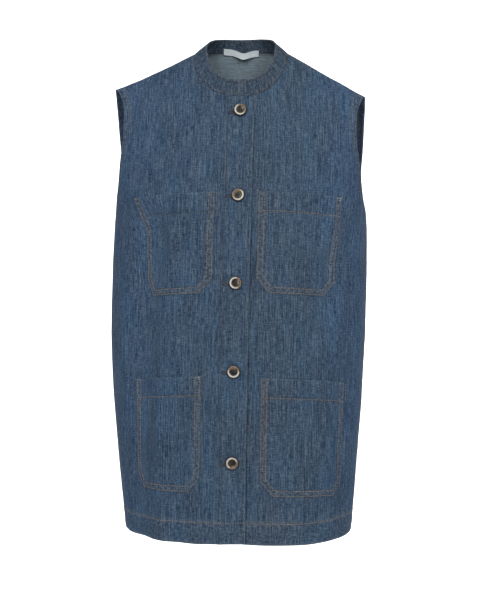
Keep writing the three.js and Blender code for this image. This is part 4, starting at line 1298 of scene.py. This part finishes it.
def add_buttonholes():
    """Close stitches round each buttonhole and a dark sheet inside it, the painted shade of its gap."""
    runs, verts, faces, start = [], [], [], 0
    for k, (z, *_) in enumerate(BUTTONS):
        rng = np.random.default_rng(200 + k)
        lines = []
        for grow, lift in ((0.0, BAND_LIFT), (1.0, BAND_LIFT - 0.1)):
            line = densify(keyhole(grow), 0.4)
            s = distances(line)
            at = np.linspace(0, s[-1], 76)
            x, y = np.interp(at, s, line[:, 0]), np.interp(at, s, line[:, 1])
            if grow:
                y = y + rng.uniform(-0.2, 0.2, len(y))
            lines.append(lifted(True, -1, *place(-1, x, z - HOLE_BELOW + y), lift))
        runs.append((lines[0][0], lines[1][0], lines[0][1], 0.5, 0.45))
        t, u = np.meshgrid(np.linspace(0, 1, 22), np.linspace(-1, 1, 5), indexing="ij")
        x = mix(SLIT_START, EYE + 1.6, t)
        half = 0.85 + 1.05 * bump(x - EYE, 1.6)
        p, n = lifted(True, -1, *place(-1, x.ravel(), z - HOLE_BELOW + (u * half).ravel()))
        quads = outward_quads(p, n, grid_quads(np.arange(x.size).reshape(x.shape)))
        top, bottom = np.full(x.size, BAND_LIFT + 0.02), np.full(x.size, BAND_LIFT - 0.5)
        v, f, _, _ = shell(p, n, quads, top, bottom, np.zeros(x.size))
        verts.append(v)
        faces.append(f + start)
        start += len(v)
    add_sewing("buttonhole_stitching", runs, HOLE_THREAD)
    verts = np.concatenate(verts)
    # a dark sheet over each slit, painting the shade in the buttonhole
    put("buttonhole_painted_shade", verts, np.concatenate(faces), [DARK_THREAD_AND_HOLE_SHADE], None, verts[:, [0, 2]] * 0.3)


add_buttonholes()


# ---------------------------------------------------------------- buttons

BUTTON_RADIUS = 9.5
# Radius and height of the button's profile, from the middle of its top over the rim to the middle of its back.
BUTTON_PROFILE = np.array([
    (0.0, 1.90), (1.2, 1.88), (2.4, 1.87), (3.6, 1.90), (4.6, 1.98), (5.2, 2.14), (5.7, 2.42), (6.2, 2.74),
    (6.7, 2.95), (7.2, 3.02), (7.7, 2.99), (8.2, 2.84), (8.7, 2.55), (9.1, 2.15), (9.4, 1.65), (9.5, 1.15),
    (8.9, 0.62), (8.2, 0.30), (7.2, 0.10), (5.5, 0.0), (3.0, 0.0), (0.0, 0.0),
])
SEGMENTS = 56


def lathe(profile, segments):
    """Vertices and faces of a turned form; the first and last points lie on its axis."""
    angles = np.arange(segments) * 2 * math.pi / segments
    verts = [[0, 0, profile[0, 1]]]
    for r, h in profile[1:-1]:
        verts += [[r * math.cos(a), r * math.sin(a), h] for a in angles]
    verts.append([0, 0, profile[-1, 1]])
    faces = []
    rows = len(profile) - 2
    for k in range(segments):
        j = (k + 1) % segments
        faces.append([0, 1 + k, 1 + j])
        for r in range(rows - 1):
            a = 1 + r * segments
            faces.append([a + k, a + segments + k, a + segments + j, a + j])
        a = 1 + (rows - 1) * segments
        faces.append([a + k, len(verts) - 1, a + j])
    return np.array(verts), faces


HOLES = [(1.35, 1.35), (-1.35, 1.35), (-1.35, -1.35), (1.35, -1.35)]
# Radius and height of a drill, of the thread's shank, and of the longer shank of the button that hangs off
DRILL = np.array([(0, 3.4), (1.02, 3.4), (0.86, 2.2), (0.80, 1.6), (0.80, -0.6), (0, -0.6)])
SHANK = np.array([(0, 0.3), (2.0, 0.3), (1.7, -0.2), (1.8, -0.62), (0, -0.62)])
LONG_SHANK = SHANK - [0, 2.0] * (SHANK[:, 1:] < 0)


def turned_object(name, profile, segments, x=0, y=0):
    verts, faces = lathe(profile, segments)
    mesh = bpy.data.meshes.new(name)
    mesh.from_pydata((verts + [x, y, 0]).tolist(), [], faces)
    made = bpy.data.objects.new(name, mesh)
    bpy.context.scene.collection.objects.link(made)
    return made


def drilled_button():
    """The button's mesh with four holes, as plain vertices and faces."""
    body = turned_object("turned", BUTTON_PROFILE, SEGMENTS)
    drills = [turned_object("drill", DRILL, 20, *hole) for hole in HOLES]
    for drill in drills:
        cut = body.modifiers.new("hole", "BOOLEAN")
        cut.operation, cut.object, cut.solver = "DIFFERENCE", drill, "EXACT"
    bpy.context.view_layer.update()
    result = body.evaluated_get(bpy.context.evaluated_depsgraph_get()).to_mesh()
    verts, faces = np.array([v.co for v in result.vertices]), [list(p.vertices) for p in result.polygons]
    for made in drills + [body]:
        old = made.data
        bpy.data.objects.remove(made)
        bpy.data.meshes.remove(old)
    return verts, faces


def thread_loops():
    """Threads through the holes, as crossed pairs."""
    starts, stops = [], []
    for (x0, y0), (x1, y1) in ((HOLES[0], HOLES[2]), (HOLES[1], HOLES[3])):
        for offset in (-0.28, 0.0, 0.28):
            dx, dy = (y0 - y1) / 3.8 * offset, -(x0 - x1) / 3.8 * offset
            starts.append([x0 + dx, y0 + dy, 2.02])
            stops.append([x1 + dx, y1 + dy, 2.02])
    return stitch_mesh(np.array(starts), np.array(stops), np.tile([0.0, 0, 1], (len(starts), 1)), 0.34, 0.34)[:2]


def rotated(x, y, angle):
    c, s = math.cos(angle), math.sin(angle)
    return x * c - y * s, x * s + y * c


def add_button(number, body, loops, z, turn, tilt, pulled, clouded):
    """clouded is the angle at which the clouded part of the horn lies, in degrees."""
    level = level_at(z)
    base, normal = (a[0] for a in lifted(True, -1, level, 0.0, 0.0))
    base = base + normal * (BAND_LIFT + BUTTON_GAP) + normal * pulled
    ups = lifted(True, -1, [level - LEVEL_STEP, level + LEVEL_STEP], 0.0)[0]
    right = unit(np.cross(unit(ups[1] - ups[0]), normal))
    up = np.cross(normal, right)
    axis = unit(normal + right * tilt[0] + up * tilt[1])
    right = unit(np.cross(up, axis))
    up = np.cross(axis, right)
    verts, faces, slots, start = [], [], [], 0
    for (v, f), slot in ((body, 0), (loops, 1), (lathe(LONG_SHANK if pulled else SHANK, 14), 1)):
        verts.append(np.stack([*rotated(v[:, 0], v[:, 1], turn), v[:, 2]], 1))
        faces += [[i + start for i in face] for face in f]
        slots += [slot] * len(f)
        start += len(v)
    local = np.concatenate(verts)
    world = base + local[:, :1] * right + local[:, 1:2] * up + local[:, 2:] * axis
    uv = np.stack(rotated(local[:, 0], local[:, 1], -math.radians(clouded)), 1) / BUTTON_RADIUS
    name = f"button_{number}"
    seed = np.full(len(world), 3.7 * (number - 1) + 1.3)
    put(name, world, faces, [HORN, DARK_THREAD_AND_HOLE_SHADE], slots, uv, {"seed": seed}, [name])
    pieces[name].data.set_sharp_from_angle(angle=math.radians(50))


button_body, button_loops = drilled_button(), thread_loops()
for index, button in enumerate(BUTTONS):
    add_button(index + 1, button_body, button_loops, *button)

# ---------------------------------------------------------------- stage, light and camera


FLOOR_Z, WALL_Y, BEND, TOP_Z = -1.25, 3.4, 0.8, 3.2  # metres; BEND is the radius from the floor to the wall
FLOOR_HALF, FLOOR_FRONT = 4.6, -4.6


def add_stage():
    """A pale floor that curves up into a backdrop, and glows the more the farther back it lies."""
    look = Look("pale_floor")
    spot = look.node("TexCoord").outputs["Object"]
    colour = look.ramp(look.noise(spot, (2, 2, 2), 2, 0.5), [(0.0, (0.86, 0.86, 0.86)), (1.0, (0.90, 0.90, 0.90))])
    glow = look.times(look.less(look.parts(spot)[1], 0.9), 0.62, clamp=True)
    look.tree.links.new(colour, look.shader.inputs["Base Color"])
    look.tree.links.new(glow, look.shader.inputs["Emission Strength"])
    look.shader.inputs["Emission Color"].default_value = (1, 1, 1, 1)
    look.shader.inputs["Roughness"].default_value = 0.9
    profile = [(y, FLOOR_Z) for y in (FLOOR_FRONT, -1.0, 0.5, 1.0, 1.6, WALL_Y)]
    for angle in np.linspace(0.1, math.pi / 2, 12):
        profile.append((WALL_Y + BEND * math.sin(angle), FLOOR_Z + BEND * (1 - math.cos(angle))))
    profile.append((WALL_Y + BEND, TOP_Z))
    verts = [(x, y, z) for y, z in profile for x in (-FLOOR_HALF, FLOOR_HALF)]
    faces = [[2 * k, 2 * k + 1, 2 * k + 3, 2 * k + 2] for k in range(len(profile) - 1)]
    mesh = bpy.data.meshes.new("floor")
    mesh.from_pydata(verts, [], faces)
    mesh.materials.append(look.material)
    mesh.polygons.foreach_set("use_smooth", np.ones(len(faces), bool))
    floor = bpy.data.objects.new("floor", mesh)
    bpy.context.scene.collection.objects.link(floor)


add_stage()


def add_light(name, location, target, size, power):
    light = bpy.data.lights.new(name, "AREA")
    light.shape, light.size, light.size_y, light.energy = "RECTANGLE", *size, power
    lamp = bpy.data.objects.new(name, light)
    lamp.location = location
    lamp.rotation_euler = (Vector(target) - Vector(location)).to_track_quat("-Z", "Y").to_euler()
    bpy.context.scene.collection.objects.link(lamp)


add_light("key", (-0.9, -2.5, 1.2), (0, 0, -0.35), (0.9, 1.2), 37)
add_light("fill", (1.3, -2.4, 1.0), (0, 0, -0.35), (0.9, 1.2), 28)
add_light("top", (0, -0.5, 1.9), (0, 0, -0.3), (1.8, 1.2), 8)
add_light("rear", (0.4, 2.0, 0.9), (0, 0, -0.35), (1.8, 1.4), 16)

world = bpy.data.worlds.new("studio")
bpy.context.scene.world = world
world.use_nodes = True
backdrop = world.node_tree.nodes["Background"].inputs
backdrop["Color"].default_value = (1, 1, 1, 1)
backdrop["Strength"].default_value = 0.36
bpy.context.scene.view_settings.view_transform = "Standard"

CAMERA_AWAY, CAMERA_ASIDE, CAMERA_Z, CAMERA_TURN = 2.2, -0.0015, -0.367, math.radians(2.5)
camera = bpy.data.cameras.new("camera")
camera.lens, camera.sensor_width, camera.sensor_fit = 88, 36, "AUTO"
camera.clip_end = 50
eye = bpy.data.objects.new("camera", camera)
eye.location = (*rotated(CAMERA_ASIDE, -CAMERA_AWAY, CAMERA_TURN), CAMERA_Z)
eye.rotation_euler = (math.pi / 2, 0, CAMERA_TURN)
bpy.context.scene.collection.objects.link(eye)
bpy.context.scene.camera = eye
